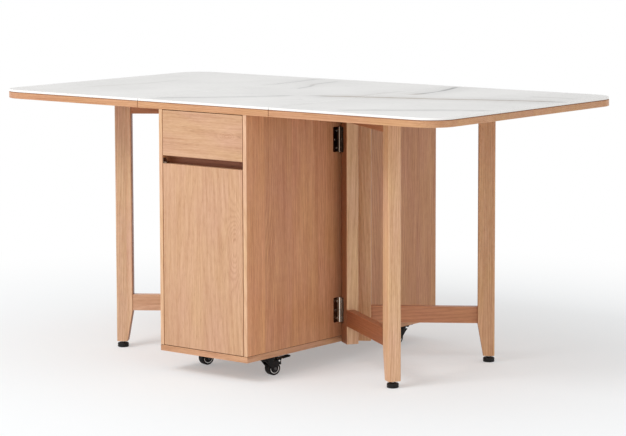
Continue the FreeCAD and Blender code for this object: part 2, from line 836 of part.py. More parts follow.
def at_castor(thing, castor):
    """Places a piece modelled about a kingpin under its own corner of the base."""
    side, end = CASTORS[castor]
    bind(thing, "Placement.Base.x", f"{side} * kingpin_across")
    bind(thing, "Placement.Base.y", f"{end} * kingpin_along")
    return thing


def swivelled(thing, castor):
    """Places a piece that turns on a kingpin, modelled trailing to the front."""
    end = "rear" if CASTORS[castor][1] > 0 else "front"
    bind(at_castor(thing, castor), "Placement.Rotation.Angle", f"{end}_castor_turn")


def castor_plates():
    """The top plates with their kingpins, and the bolts that hold them to the base."""
    pieces = []
    for castor in CASTORS:
        plate = new_body(f"castor_plate_{castor}")
        side = "castor_plate_side"
        disc_level = "race_middle + race_gap / 2"
        square = centred(plate, (side, side, "castor_plate_thickness"), ("0", "0"), "plate_level")
        dress(plate, square, "Fillet", "post_round", upright)
        rod(plate, "race_radius", f"plate_level - ({disc_level})", ("0", "0", disc_level))
        pin_level = "crown_level - kingpin_head_height"
        rod(plate, "kingpin_radius", f"plate_level - ({pin_level})", ("0", "0", pin_level))
        head_level = f"{pin_level} - race_gap"
        rod(plate, "kingpin_head_radius", "kingpin_head_height", ("0", "0", head_level))
        pieces.append(at_castor(plate, castor))
        for place in BOLT_PLACES:
            hole = (*place, "plate_level")
            rod(plate, "bolt_radius", "castor_plate_thickness", hole, cut=True)
            bolt = new_body(f"castor_bolt_{castor}_{len(pieces)}")
            head = (*place, "plate_level - bolt_head_height")
            rod(bolt, "bolt_head_radius", "bolt_head_height", head)
            length = "castor_plate_thickness + bolt_length"
            rod(bolt, "bolt_radius", length, (*place, "plate_level"))
            pieces.append(at_castor(bolt, castor))
    group("castor_plates", pieces)


def castor_fork(castor, braked):
    """The swivelling fork: a crown under the kingpin, two cheeks and the riveted axle."""
    body = new_body(f"castor_fork_body_{castor}")
    race = "race_middle - race_gap / 2 - crown_level"
    rod(body, "race_radius", race, ("0", "0", "crown_level"))
    reach = "castor_trail + cheek_axle_margin"
    width = "2 * (cheek_face + cheek_thickness)"
    size = (width, f"fork_nose + ({reach})", "crown_thickness")
    crown = (f"-({width}) / 2", f"-({reach})", "crown_level")
    block(body, size, crown)
    points = [
        ("fork_nose", "crown_level"),
        ("-castor_trail + cheek_axle_margin", "wheel_radius - cheek_axle_margin"),
        ("-castor_trail - cheek_axle_margin", "wheel_radius - cheek_axle_margin"),
        ("-pedal_pivot_back - pedal_boss_radius", "pedal_pivot_level - pedal_boss_radius"),
        ("-pedal_pivot_back - pedal_boss_radius", "crown_level + crown_thickness"),
        ("fork_nose", "crown_level + crown_thickness"),
    ]
    for start in ("cheek_face", "-cheek_face - cheek_thickness"):
        pad(body, outline(body, "YZ_Plane", points, start), "cheek_thickness")
    hole = "kingpin_radius + axle_clearance"
    rod(body, hole, "castor_height", ("0", "0", "wheel_radius"), cut=True)
    level = "pedal_pivot_level"
    if braked:
        hole_place = ("-cheek_face - cheek_thickness", "-pedal_pivot_back", level)
        hole_length = "2 * (cheek_face + cheek_thickness)"
        rod(body, "pedal_pin_radius", hole_length, hole_place, ALONG_X, cut=True)
    axle_hole = ("-cheek_face - cheek_thickness", "-castor_trail", "wheel_radius")
    rod(body, "axle_radius", "2 * (cheek_face + cheek_thickness)", axle_hole, ALONG_X, cut=True)
    axle = new_body(f"castor_axle_{castor}")
    length = "2 * (cheek_face + cheek_thickness)"
    rod(axle, "axle_radius", length, axle_hole, ALONG_X)
    head = "cheek_face + cheek_thickness"
    for start in (head, f"-({head}) - axle_head_height"):
        place = (start, "-castor_trail", "wheel_radius")
        rod(axle, "axle_head_radius", "axle_head_height", place, ALONG_X)
    members = [body, axle]
    if braked:
        pin = new_body(f"brake_pin_{castor}")
        rod(pin, "pedal_pin_radius", hole_length, hole_place, ALONG_X)
        members.append(pin)
    swivelled(group(f"castor_fork_{castor}", members), castor)


def castor_wheel(castor):
    """The wheel, with rounded edges, a bore and a shallow recess on each side."""
    body = new_body(f"castor_wheel_{castor}")
    place = ("-wheel_width / 2", "-castor_trail", "wheel_radius")
    tyre = rod(body, "wheel_radius", "wheel_width", place, ALONG_X)
    dress(body, tyre, "Fillet", "wheel_round", lambda d, m: d.Length < SHORT)
    for start in ("wheel_width / 2 - hub_recess_depth", "-wheel_width / 2"):
        recess = (start, "-castor_trail", "wheel_radius")
        rod(body, "hub_recess_radius", "hub_recess_depth", recess, ALONG_X, cut=True)
    rod(body, "axle_radius + axle_clearance", "wheel_width", place, ALONG_X, cut=True)
    swivelled(node(body), castor)


def brake_pedal(castor):
    """The foot pedal that presses its shoe on the wheel of a braked castor."""
    body = new_body(f"brake_pedal_{castor}")
    level = "pedal_pivot_level"
    back = "pedal_pivot_back"
    points = [
        (f"-{back}", f"{level} + pedal_boss_radius"),
        (f"-{back} - pedal_reach", f"{level} + pedal_boss_radius + pedal_rise"),
        (f"-{back} - pedal_reach", f"{level} + pedal_boss_radius + pedal_rise - pedal_thickness"),
        ("-castor_trail - (shoe_radius + brake_shoe_thickness) * cos(brake_shoe_slope)",
         f"{level} - pedal_thickness / 2"),
        ("-castor_trail - (shoe_radius + brake_shoe_thickness) * cos(brake_shoe_slope)",
         "wheel_radius + shoe_radius * sin(brake_shoe_slope)"),
        ("-castor_trail - shoe_radius * cos(brake_shoe_slope)",
         "wheel_radius + shoe_radius * sin(brake_shoe_slope)"),
        (f"-{back}", f"{level} - pedal_boss_radius"),
    ]
    width = "pedal_width"
    pad(body, outline(body, "YZ_Plane", points, f"-{width} / 2"), width)
    place = (f"-{width} / 2", f"-{back}", level)
    rod(body, "pedal_boss_radius", width, place, ALONG_X)
    rod(body, "pedal_pin_radius + axle_clearance", width, place, ALONG_X, cut=True)
    swivelled(node(body), castor)


# ------------------------------------------------------------------ assembly and export


def build():
    """Builds every sub-part of the table."""
    base_panel()
    for side in SIDES:
        side_panel(side)
    centre_divider()
    drawer_shelves()
    cupboard_shelves()
    top_cleats()
    drawer_runners()
    door_pivots()
    for end in ENDS:
        drawer(end)
        door(end)
    middle_top()
    for side in SIDES:
        leaf(side)
    leaf_hinges()
    gates()
    castor_plates()
    for castor, (side, end) in CASTORS.items():
        braked = end < 0
        castor_fork(castor, braked)
        castor_wheel(castor)
        if braked:
            brake_pedal(castor)
    doc.recompute()


def check():
    """Stops with a message if any object failed or any sub-part isn't a sound solid."""
    for thing in doc.Objects:
        if "Invalid" in thing.State or "Error" in thing.State:
            raise RuntimeError(f"{thing.Label} failed: {thing.State}")
    for thing in nodes:
        if thing.Shape.isNull() or not thing.Shape.isValid():
            raise RuntimeError(f"{thing.Label} has no sound shape")


def export():
    """Writes each sub-part to its own file."""
    os.makedirs("parts", exist_ok=True)
    for thing in nodes:
        thing.Shape.exportStep(f"parts/{thing.Label}.step")
        print(thing.Label, len(thing.Shape.Solids), round(thing.Shape.Volume))


build()
check()
export()
print(len(nodes), "sub-parts")
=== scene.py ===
"""Looks of a drop-leaf gate-leg table with a storage cabinet on castors.

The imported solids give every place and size. Each class below models one sub-assembly
around them, in metres and in place at rest, and dresses it in oak, stone or metal.
"""

import json
import logging
import math
from collections.abc import Callable, Iterator, Sequence
from contextlib import contextmanager
from dataclasses import dataclass, field, replace
from enum import Enum

import bpy
from mathutils import Matrix, Vector

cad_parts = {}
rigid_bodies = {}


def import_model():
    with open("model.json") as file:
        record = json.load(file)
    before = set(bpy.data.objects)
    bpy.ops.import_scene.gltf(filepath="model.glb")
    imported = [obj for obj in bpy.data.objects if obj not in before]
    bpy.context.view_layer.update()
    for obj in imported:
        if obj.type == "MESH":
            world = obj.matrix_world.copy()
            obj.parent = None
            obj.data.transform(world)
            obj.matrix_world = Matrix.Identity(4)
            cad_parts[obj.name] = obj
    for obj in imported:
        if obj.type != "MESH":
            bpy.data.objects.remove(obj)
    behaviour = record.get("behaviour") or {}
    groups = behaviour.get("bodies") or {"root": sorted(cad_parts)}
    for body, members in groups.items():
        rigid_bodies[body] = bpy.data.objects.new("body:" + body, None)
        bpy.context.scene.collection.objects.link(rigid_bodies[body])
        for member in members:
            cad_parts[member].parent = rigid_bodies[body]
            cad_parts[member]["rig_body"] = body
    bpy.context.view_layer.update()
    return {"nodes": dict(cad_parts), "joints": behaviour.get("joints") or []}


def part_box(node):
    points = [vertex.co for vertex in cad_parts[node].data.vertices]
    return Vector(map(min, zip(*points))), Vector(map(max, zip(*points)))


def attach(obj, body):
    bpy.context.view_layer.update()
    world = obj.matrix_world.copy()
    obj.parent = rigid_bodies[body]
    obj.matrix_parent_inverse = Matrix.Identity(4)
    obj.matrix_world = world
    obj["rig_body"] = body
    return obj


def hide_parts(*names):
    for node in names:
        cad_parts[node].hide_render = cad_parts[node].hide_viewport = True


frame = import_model()

logging.basicConfig(level=logging.INFO, format="%(message)s")
log = logging.getLogger("table")

Colour = tuple[float, float, float]
Tones = tuple[Colour, Colour]
Place = tuple[float, float, float]
Range = tuple[float, float]
Test = Callable[[Vector, Vector], bool]
Socket = bpy.types.NodeSocket
TOUCH = 1e-5
ALIGNED = 1 - TOUCH
MOSTLY = 0.9
WHITE: Colour = (1.0, 1.0, 1.0)


def srgb(red: int, green: int, blue: int) -> Colour:
    """A colour from 0 to 255 a channel, as a screen shows it, made linear for a shader.

    Args:
        red: red, from 0 to 255.
        green: green, in the same way.
        blue: blue, in the same way.

    Returns:
        The colour, from 0 to 1 a channel.
    """
    knee, low_slope, offset, gamma = 0.04045, 12.92, 0.055, 2.4

    def linear(value: float) -> float:
        """One channel, linear."""
        return value / low_slope if value <= knee else ((value + offset) / (1 + offset)) ** gamma

    return (linear(red / 255), linear(green / 255), linear(blue / 255))


def two_tone(light: tuple[int, int, int], dark: tuple[int, int, int]) -> Tones:
    """The light and the dark colour of a wood, made linear."""
    return srgb(*light), srgb(*dark)


def near(first: float, second: float, slack: float = TOUCH) -> bool:
    """True where two lengths are the same."""
    return abs(first - second) < slack


def doubled(side: list[tuple[float, float]]) -> list[tuple[float, float]]:
    """A turned profile from its lower half: (radius, height) stations up to height 0."""
    return side + [(radius, -height) for radius, height in reversed(side)]


def at(x: float, y: float, z: float) -> Matrix:
    """A move along the three axes."""
    return Matrix.Translation((x, y, z))


def spin(angle: float, axis: str) -> Matrix:
    """A turn about one axis, in radians."""
    return Matrix.Rotation(angle, 4, axis)


# ---------------------------------------------------------------- node trees


def operator(operation: str, swapped: bool = False) -> Callable:
    """An operator of signals that adds one math node.

    Args:
        operation: the math node's operation.
        swapped: True where the signal is what the node takes second.

    Returns:
        The method that a class of signals needs.
    """

    def reckon(first: "Signal", second: object) -> "Signal":
        """The result of the node."""
        pair = (second, first) if swapped else (first, second)
        return first.board.math(operation, *pair)

    return reckon


@dataclass(frozen=True)
class Signal:
    """A value that flows through a node tree, reckoned with by + - * and /."""

    board: "NodeBoard"
    socket: Socket

    __add__ = __radd__ = operator("ADD")
    __mul__ = __rmul__ = operator("MULTIPLY")
    __sub__ = operator("SUBTRACT")
    __rsub__ = operator("SUBTRACT", swapped=True)
    __truediv__ = operator("DIVIDE")


class NodeBoard:
    """A node tree with short calls for the nodes that the finishes use."""

    def __init__(self, tree: bpy.types.NodeTree) -> None:
        """Clears a tree and takes it as the board."""
        self.tree = tree
        tree.nodes.clear()

    def feed(self, plug: Socket, value: object) -> None:
        """Links a signal or a socket into an input, or sets the input to a plain value.

        Args:
            plug: the input.
            value: a signal, a socket or a plain value.
        """
        if isinstance(value, Signal):
            value = value.socket
        if isinstance(value, Socket):
            self.tree.links.new(value, plug)
        elif isinstance(value, tuple) and plug.type == "RGBA":
            plug.default_value = (*value, 1.0)
        else:
            plug.default_value = value

    def node(self, kind: str, inputs: dict, **settings: object) -> bpy.types.Node:
        """Adds a node.

        Args:
            kind: the node's type, without its ShaderNode start.
            inputs: values, signals or sockets by input name or number.
            settings: the node's own properties.

        Returns:
            The new node.
        """
        made = self.tree.nodes.new(f"ShaderNode{kind}")
        for name, value in settings.items():
            setattr(made, name, value)
        for name, value in inputs.items():
            self.feed(made.inputs[name], value)
        return made

    def take(self, kind: str, inputs: dict, output: int | str = 0, **settings: object) -> Signal:
        """Adds a node and takes one of its outputs."""
        return Signal(self, self.node(kind, inputs, **settings).outputs[output])

    def here(self) -> Signal:
        """The place on the piece, in metres."""
        return self.take("TexCoord", {}, "Object")

    def seen(self) -> Signal:
        """1 on rays that a picture shows: straight, mirrored or through glass.

        Returns:
            The signal, 0 or 1.
        """
        ray = self.node("LightPath", {}).outputs
        return self.math("MAXIMUM", ray["Is Camera Ray"], self.math(
            "MAXIMUM", ray["Is Glossy Ray"], ray["Is Transmission Ray"]))

    def math(self, operation: str, first: object, second: object = 0.0) -> Signal:
        """One step of arithmetic on numbers or signals."""
        return self.take("Math", {0: first, 1: second}, operation=operation)

    def stretch(self, vector: object, scale: Place) -> Signal:
        """A vector multiplied part by part."""
        return self.take("VectorMath", {0: vector, 1: scale}, operation="MULTIPLY")

    def shift(self, vector: object, move: object) -> Signal:
        """A vector moved by another."""
        return self.take("VectorMath", {0: vector, 1: move}, operation="ADD")

    def split(self, value: object, kind: str = "XYZ") -> list[Signal]:
        """The three parts of a vector, or of a colour where the kind is Color."""
        return [Signal(self, part) for part in self.node(f"Separate{kind}", {0: value}).outputs]

    def join(self, x: object, y: object, z: object) -> Signal:
        """A vector from three parts."""
        return self.take("CombineXYZ", {0: x, 1: y, 2: z})

    def noise(self, vector: object, scale: float = 1.0, detail: float = 2.0,
              colour: bool = False) -> Signal:
        """Soft noise from 0 to 1, or a noise colour where colour is set."""
        return self.take("TexNoise", {"Vector": vector, "Scale": scale, "Detail": detail},
                         "Color" if colour else "Fac")

    def fade(self, value: object, low: float, high: float, start: float = 0.0,
             end: float = 1.0) -> Signal:
        """Eases a value from start to end as it goes from low to high."""
        return self.take("MapRange", {0: value, 1: low, 2: high, 3: start, 4: end},
                         interpolation_type="SMOOTHSTEP")

    def ramp(self, value: object, stops: Sequence[tuple[float, float]]) -> Signal:
        """Grey levels by place along a ramp, from (place, level) stops.

        Args:
            value: where the ramp is read, from 0 to 1.
            stops: its stops, in order.

        Returns:
            The grey level.
        """
        made = self.node("ValToRGB", {0: value})
        elements = made.color_ramp.elements
        while len(elements) < len(stops):
            elements.new(1.0)
        for element, (place, level) in zip(elements, stops):
            element.position = place
            element.color = (level, level, level, 1.0)
        return Signal(self, made.outputs[0])

    def mix(self, factor: object, first: object, second: object, blend: str = "MIX") -> Signal:
        """Two colours mixed."""
        return self.take("Mix", {0: factor, 6: first, 7: second}, 2, data_type="RGBA",
                         blend_type=blend)


def open_group(name: str, inputs: dict[str, str],
               outputs: dict[str, str]) -> tuple[NodeBoard, dict[str, Signal]]:
    """Starts a shader node group.

    Args:
        name: the group's name.
        inputs: the kind of each input by name, such as "Vector".
        outputs: the same for the outputs.

    Returns:
        The group's board, and its inputs as signals.
    """
    group = bpy.data.node_groups.new(name, "ShaderNodeTree")
    board = NodeBoard(group)
    for in_out, sockets in (("INPUT", inputs), ("OUTPUT", outputs)):
        for label, kind in sockets.items():
            group.interface.new_socket(label, in_out=in_out, socket_type=f"NodeSocket{kind}")
    start = group.nodes.new("NodeGroupInput")
    return board, {socket.name: Signal(board, socket) for socket in start.outputs}


class Finish:
    """A finish that is made into one material the first time it is asked for."""

    name: str

    def material(self) -> bpy.types.Material:
        """The finish as a material, made once.

        Returns:
            The material.
        """
        made = bpy.data.materials.get(self.name)
        if made is None:
            made = bpy.data.materials.new(self.name)
            made.use_nodes = True
            self.paint(NodeBoard(made.node_tree))
        return made

    def paint(self, board: NodeBoard) -> None:
        """Fills the material's node tree."""
        raise NotImplementedError

    def surface(self, board: NodeBoard, colour: Signal, roughness: Signal, height: object,
                depth: float, shine: float, **more: float) -> None:
        """Ends a tree with one principled shader.

        Args:
            board: the material's tree.
            colour: the base colour.
            roughness: how dull it is, from 0 to 1.
            height: the map that is pressed into the surface.
            depth: how deep the map reaches, in metres.
            shine: the strength of the reflections of a bare surface.
            more: further inputs of the shader, with _ for a blank.
        """
        inputs = {"Base Color": colour, "Roughness": roughness, "Specular IOR Level": shine,
                  "Normal": board.take("Bump", {"Height": height, "Distance": depth})}
        inputs |= {name.replace("_", " "): value for name, value in more.items()}
        board.node("OutputMaterial", {"Surface": board.take("BsdfPrincipled", inputs)})


# ---------------------------------------------------------------- oak


class Grain(Enum):
    """The way the grain runs, as the unit vectors across, out of the face and along."""

    UPRIGHT = ((1, 0, 0), (0, 1, 0), (0, 0, 1))
    UPRIGHT_SIDE = ((0, 1, 0), (-1, 0, 0), (0, 0, 1))
    ALONG_X = ((0, 0, 1), (0, -1, 0), (1, 0, 0))
    ALONG_Y = ((0, 0, 1), (1, 0, 0), (0, 1, 0))
    FLAT_X = ((0, 1, 0), (0, 0, 1), (1, 0, 0))


class OakNoise(Enum):
    """The noises in oak: turns a metre across, out of the face and along, and detail."""

    WANDER = ((9.0, 9.0, 1.6), 2.0)
    WOBBLE = ((90.0, 90.0, 5.0), 2.0)
    FIBRE = ((330.0, 330.0, 9.0), 4.0)
    BAND = ((46.0, 46.0, 1.4), 3.0)
    FLECK = ((420.0, 420.0, 60.0), 2.0)
    PORE = ((1300.0, 1300.0, 42.0), 1.0)
    CLOUD = ((16.0, 16.0, 5.0), 3.0)


@dataclass(frozen=True)
class OakRecipe:
    """How much each part of the pattern tells, alike in every piece of oak."""

    pith_spread: float = 0.06
    pith_least: float = 0.35
    taper: float = 0.12
    stave_offset: float = 1.7
    wobble: float = 1.2
    ring_stops: tuple[tuple[float, float], ...] = (
        (0.0, 0.85), (0.16, 0.45), (0.42, 0.0), (0.72, 0.14), (1.0, 0.6))
    ring_middle: float = 0.25
    pore_range: Range = (0.58, 0.7)
    pore_least: float = 0.25
    pore_dark: float = 0.3
    swell_rings: float = 0.25
    fleck: float = 0.55
    knot_range: Range = (0.25, 0.9)
    base_dark: float = 0.42
    green_drift: float = 0.35
    seam_width: float = 0.008
    seam_dark: float = 0.35
    smoothest: float = 0.36
    fibre_rough: float = 0.12
    pore_rough: float = 0.25


@dataclass(frozen=True)
class Figure:
    """A place where the rings close around a swelling or a knot, in the oak's own frame."""

    across: float = 0.0
    along: float = 0.0
    half_width: float = 1.0
    half_length: float = 1.0
    lift: float = 0.0
    darkness: float = 0.0


OAK_NUMBERS = ("stave_width", "ring_spacing", "ring_strength", "wander", "pith_depth",
               "pith_aside", "seed", "stave_contrast", "drift", "band")
FIGURE_NUMBERS = ("across", "along", "half_width", "half_length", "lift", "darkness")


def oak_group(recipe: OakRecipe = OakRecipe()) -> bpy.types.NodeTree:
    """The pattern of oak: staves cut at their own places from round, tapering stems.

    Args:
        recipe: how much each part of the pattern tells.

    Returns:
        The node group, made once. Its place is across the grain, out of the face and along.
    """
    name = "oak_pattern"
    if name in bpy.data.node_groups:
        return bpy.data.node_groups[name]
    inputs = {"place": "Vector", "light": "Color", "dark": "Color"}
    inputs |= {number: "Float" for number in OAK_NUMBERS}
    inputs |= {f"figure_{number}": "Float" for number in FIGURE_NUMBERS}
    board, plug = open_group(name, inputs, {"colour": "Color", "roughness": "Float",
                                            "height": "Float"})
    across, depth, along = board.split(plug["place"])

    stave = board.math("FLOOR", across / plug["stave_width"])
    random = board.take("TexWhiteNoise", {"Vector": board.join(stave, plug["seed"], 0.0)},
                        "Color", noise_dimensions="3D")
    first, second, third = board.split(random, "Color")
    middle = (stave + 0.5) * plug["stave_width"]
    aside = (first - 0.5) * recipe.pith_spread + plug["pith_aside"]
    from_pith = across - middle + aside

    own = board.shift(plug["place"], board.join(stave * recipe.stave_offset, 0.0, plug["seed"]))
    wander, wobble, fibre, band, fleck, pores, cloud = (
        board.noise(board.stretch(own, scale), detail=detail)
        for scale, detail in (kind.value for kind in OakNoise))

    swell_u = (across - plug["figure_across"]) / plug["figure_half_width"]
    swell_v = (along - plug["figure_along"]) / plug["figure_half_length"]
    swell = board.math("EXPONENT", (swell_u * swell_u + swell_v * swell_v) * -1.0)

    pith = (plug["pith_depth"] * (second + recipe.pith_least)
            + (third - 0.5) * recipe.taper * along + (wander - 0.5) * plug["wander"]
            + swell * plug["figure_lift"] + depth)
    radius = board.math("SQRT", from_pith * from_pith + pith * pith)
    turns = radius / plug["ring_spacing"] + (wobble - 0.5) * recipe.wobble
    ring = board.ramp(board.math("FRACT", turns), recipe.ring_stops)
    pore = board.fade(pores, *recipe.pore_range) * (ring + recipe.pore_least)

    strength = (first + 0.5) * plug["ring_strength"] + swell * recipe.swell_rings
    dark = (ring - recipe.ring_middle) * strength
    for pattern, weight in ((fibre, 1.0), (band, plug["band"]), (fleck, recipe.fleck)):
        dark = dark + (pattern - 0.5) * weight
    knot = board.fade(swell, *recipe.knot_range) * plug["figure_darkness"]
    dark = board.take("Clamp", {0: dark + recipe.base_dark + knot})
    colour = board.mix(dark, plug["light"], plug["dark"])
    grey = (second - 0.5) * plug["stave_contrast"] + 1.0
    drift = (cloud - 0.5) * plug["drift"]
    colour = board.mix(1.0, colour, board.join(grey, grey + drift * recipe.green_drift,
                                               grey - drift), "MULTIPLY")
    colour = board.mix(pore * recipe.pore_dark, colour, plug["dark"])
    seam = board.math("PINGPONG", board.math("FRACT", across / plug["stave_width"]), 0.5)
    joint = 1.0 - board.fade(seam, 0.0, recipe.seam_width)
    colour = board.mix(joint * recipe.seam_dark, colour, plug["dark"])
    end = board.tree.nodes.new("NodeGroupOutput")
    roughness = pore * recipe.pore_rough + (fibre * recipe.fibre_rough + recipe.smoothest)
    for plug_out, signal in zip(end.inputs, (colour, roughness, fibre * 0.5 - pore)):
        board.feed(plug_out, signal)
    return board.tree


@dataclass(frozen=True)
class Oak(Finish):
    """Oiled oak, cut and glued from staves, its grain turned with the piece."""

    name: str
    grain: Grain
    tones: Tones = two_tone((226, 184, 149), (182, 128, 92))
    turn: float = 0.0
    stave_width: float = 0.06
    ring_spacing: float = 0.0055
    ring_strength: float = 0.3
    wander: float = 0.035
    pith_depth: float = 0.11
    pith_aside: float = 0.09
    stave_contrast: float = 0.12
    drift: float = 0.3
    seed: float = 0.0
    start: Place = (0.0, 0.0, 0.0)
    figure: Figure = Figure()
    band: float = 0.7
    pore_depth: float = 0.00025
    rub: float = 1.06

    def paint(self, board: NodeBoard) -> None:
        """Paints the oak along its own grain.

        Args:
            board: the material's tree, cleared.
        """
        rows = Matrix(self.grain.value) @ Matrix.Rotation(-self.turn, 3, "Z")
        own = board.take("Mapping", {"Vector": board.here(), "Rotation": rows.to_euler(),
                                     "Location": self.start})
        light, dark = self.tones
        inputs = {"place": own, "light": light, "dark": dark}
        inputs |= {number: getattr(self, number) for number in OAK_NUMBERS}
        inputs |= {f"figure_{number}": getattr(self.figure, number)
                   for number in FIGURE_NUMBERS}
        oak = board.node("Group", inputs, node_tree=oak_group()).outputs
        self.surface(board, oak["colour"], oak["roughness"], oak["height"], self.pore_depth,
                     shine=0.35, Coat_Weight=0.06, Coat_Roughness=0.3)

    def rubbed(self) -> "Oak":
        """The same oak where an edge is sanded round and rubbed lighter.

        Returns:
            The paler oak, under a name of its own.
        """
        light, dark = self.tones
        lifted = tuple(min(part * self.rub, 1.0) for part in light)
        paler = tuple((deep + pale) / 2 for deep, pale in zip(dark, light))
        return replace(self, name=f"{self.name}_rubbed", tones=(lifted, paler))


# ---------------------------------------------------------------- stone, metal and plastic


@dataclass(frozen=True)
class Vein:
    """One vein of the stone: its two ends on the top, its bow, its width and its strength."""

    start: tuple[float, float]
    end: tuple[float, float]
    bow: float
    width: float
    strength: float
    halo_width: float = 5.0
    halo: float = 0.2
    break_range: Range = (0.25, 0.75)
    thinning: Range = (0.4, 1.4)
    fade_in: float = 0.12
    fade_out: float = 0.85

    def shown(self, board: NodeBoard, x: Signal, y: Signal, breaks: Signal) -> Signal:
        """How strongly the vein shows at each point.

        Args:
            board: the material's tree.
            x: the place along the table.
            y: the place across the table.
            breaks: noise that thins the vein here and there.

        Returns:
            The strength, from 0 to 1.
        """
        run = Vector(self.end) - Vector(self.start)
        length = run.length
        run.normalize()
        out_x, out_y = x - self.start[0], y - self.start[1]
        along = out_x * (run.x / length) + out_y * (run.y / length)
        aside = out_x * -run.y - out_y * -run.x
        bowed = aside - along * (1.0 - along) * (4 * self.bow)
        offset = board.math("ABSOLUTE", bowed)
        width = board.fade(breaks, *self.break_range, *self.thinning) * self.width
        core = board.fade(offset / width, 0.0, 1.0, 1.0, 0.0)
        halo = board.fade(offset, 0.0, self.width * self.halo_width, self.halo, 0.0)
        inside = (board.fade(along, 0.0, self.fade_in)
                  * board.fade(along, self.fade_out, 1.0, 1.0, 0.0))
        return board.math("MAXIMUM", core, halo) * inside * self.strength


class StoneNoise(Enum):
    """The noises in stone: turns a metre, and detail."""

    BREAK = (7.0, 3.0)
    RIDGE = (3.4, 4.0)
    CLOUD = (3.1, 3.0)
    RUST = (3.4, 1.0)
    GLOSS = (60.0, 3.0)
    SKIN = (120.0, 2.0)

    def spread(self, board: NodeBoard, place: Signal) -> Signal:
        """The noise over the stone, from 0 to 1."""
        return board.noise(place, *self.value)


@dataclass(frozen=True)
class Stone(Finish):
    """Polished white stone with long smoky veins that run on from slab to slab."""

    name: str = "white_stone"
    ground: Colour = srgb(219, 218, 216)
    cloud: Colour = srgb(207, 206, 204)
    vein: Colour = srgb(92, 92, 93)
    rust: Colour = srgb(138, 122, 106)
    bends: tuple[tuple[float, float, float], ...] = ((3.1, 2.0, 0.07), (16.0, 3.0, 0.02))
    polish_depth: float = 0.00002
    cloud_range: Range = (0.3, 0.75)
    rust_range: Range = (0.52, 0.66)
    web_width: float = 0.008
    web_range: Range = (0.5, 0.75)
    web: float = 0.2
    gloss_range: Range = (0.2, 0.8)
    roughness: Range = (0.3, 0.38)
    shine: float = 0.3
    veins: tuple[Vein, ...] = (
        Vein((0.067, -0.093), (0.819, 0.175), 0.008, 0.020, 1.0),
        Vein((-0.217, -0.427), (0.072, -0.081), 0.005, 0.012, 0.65),
        Vein((0.398, -0.400), (0.776, -0.131), 0.000, 0.012, 0.60),
        Vein((0.296, 0.103), (0.244, 0.427), -0.016, 0.018, 0.85),
        Vein((0.256, -0.074), (0.224, 0.200), 0.030, 0.008, 0.40),
        Vein((-0.254, 0.105), (-0.266, 0.441), -0.013, 0.010, 0.50),
        Vein((-0.084, 0.076), (-0.160, 0.404), 0.010, 0.010, 0.45),
        Vein((0.592, 0.258), (0.767, 0.269), 0.010, 0.012, 0.45),
        Vein((-0.624, -0.238), (-0.585, 0.156), -0.035, 0.008, 0.30),
        Vein((0.246, -0.386), (0.262, -0.257), 0.012, 0.007, 0.30),
    )

    def paint(self, board: NodeBoard) -> None:
        """Paints the ground, the clouds and the veins.

        Args:
            board: the material's tree, cleared.
        """
        place = bent = board.here()
        for scale, detail, reach in self.bends:
            push = board.shift(board.noise(place, scale, detail, colour=True), (-0.5, -0.5, -0.5))
            bent = board.shift(bent, board.stretch(push, (reach, reach, 0.0)))
        x, y, _ = board.split(bent)
        breaks = StoneNoise.BREAK.spread(board, place)
        total = 0.0
        for vein in self.veins:
            total = board.math("MAXIMUM", total, vein.shown(board, x, y, breaks))
        ridge = board.math("ABSOLUTE", StoneNoise.RIDGE.spread(board, bent) - 0.5)
        web = (board.fade(ridge, 0.0, self.web_width, 1.0, 0.0)
               * board.fade(breaks, *self.web_range, 0.0, self.web))
        clouds = board.fade(StoneNoise.CLOUD.spread(board, bent), *self.cloud_range)
        rusty = board.fade(StoneNoise.RUST.spread(board, place), *self.rust_range)
        tint = board.mix(rusty, self.vein, self.rust)
        colour = board.mix(board.math("MAXIMUM", total, web),
                           board.mix(clouds, self.ground, self.cloud), tint)
        rough = board.fade(StoneNoise.GLOSS.spread(board, place), *self.gloss_range,
                           *self.roughness)
        self.surface(board, colour, rough, StoneNoise.SKIN.spread(board, place),
                     self.polish_depth, self.shine)


@dataclass(frozen=True)
class Metal(Finish):
    """Bare or plated metal, brushed along one way and dulled in patches."""

    name: str
    colour: Colour
    roughness: float = 0.28
    metallic: float = 1.0
    brushing: Place = (60.0, 60.0, 1500.0)
    patch_scale: float = 45.0
    patch_range: Range = (0.45, 0.75)
    patch_share: float = 0.3
    patch_dark: float = 0.7
    patch_middle: float = 0.4
    patch_rough: float = 0.25
    scratch_depth: float = 0.000004
    shine: float = 0.22

    def paint(self, board: NodeBoard) -> None:
        """Paints the metal with its brushing and its dull patches.

        Args:
            board: the material's tree, cleared.
        """
        place = board.here()
        brushed = board.noise(board.stretch(place, self.brushing), detail=3.0)
        patches = board.noise(place, self.patch_scale, 2.0)
        dull = board.mix(board.fade(patches, *self.patch_range, 0.0, self.patch_share),
                         self.colour, tuple(part * self.patch_dark for part in self.colour))
        rough = (patches - self.patch_middle) * self.patch_rough + self.roughness
        self.surface(board, dull, rough, brushed, self.scratch_depth, self.shine,
                     Metallic=self.metallic)


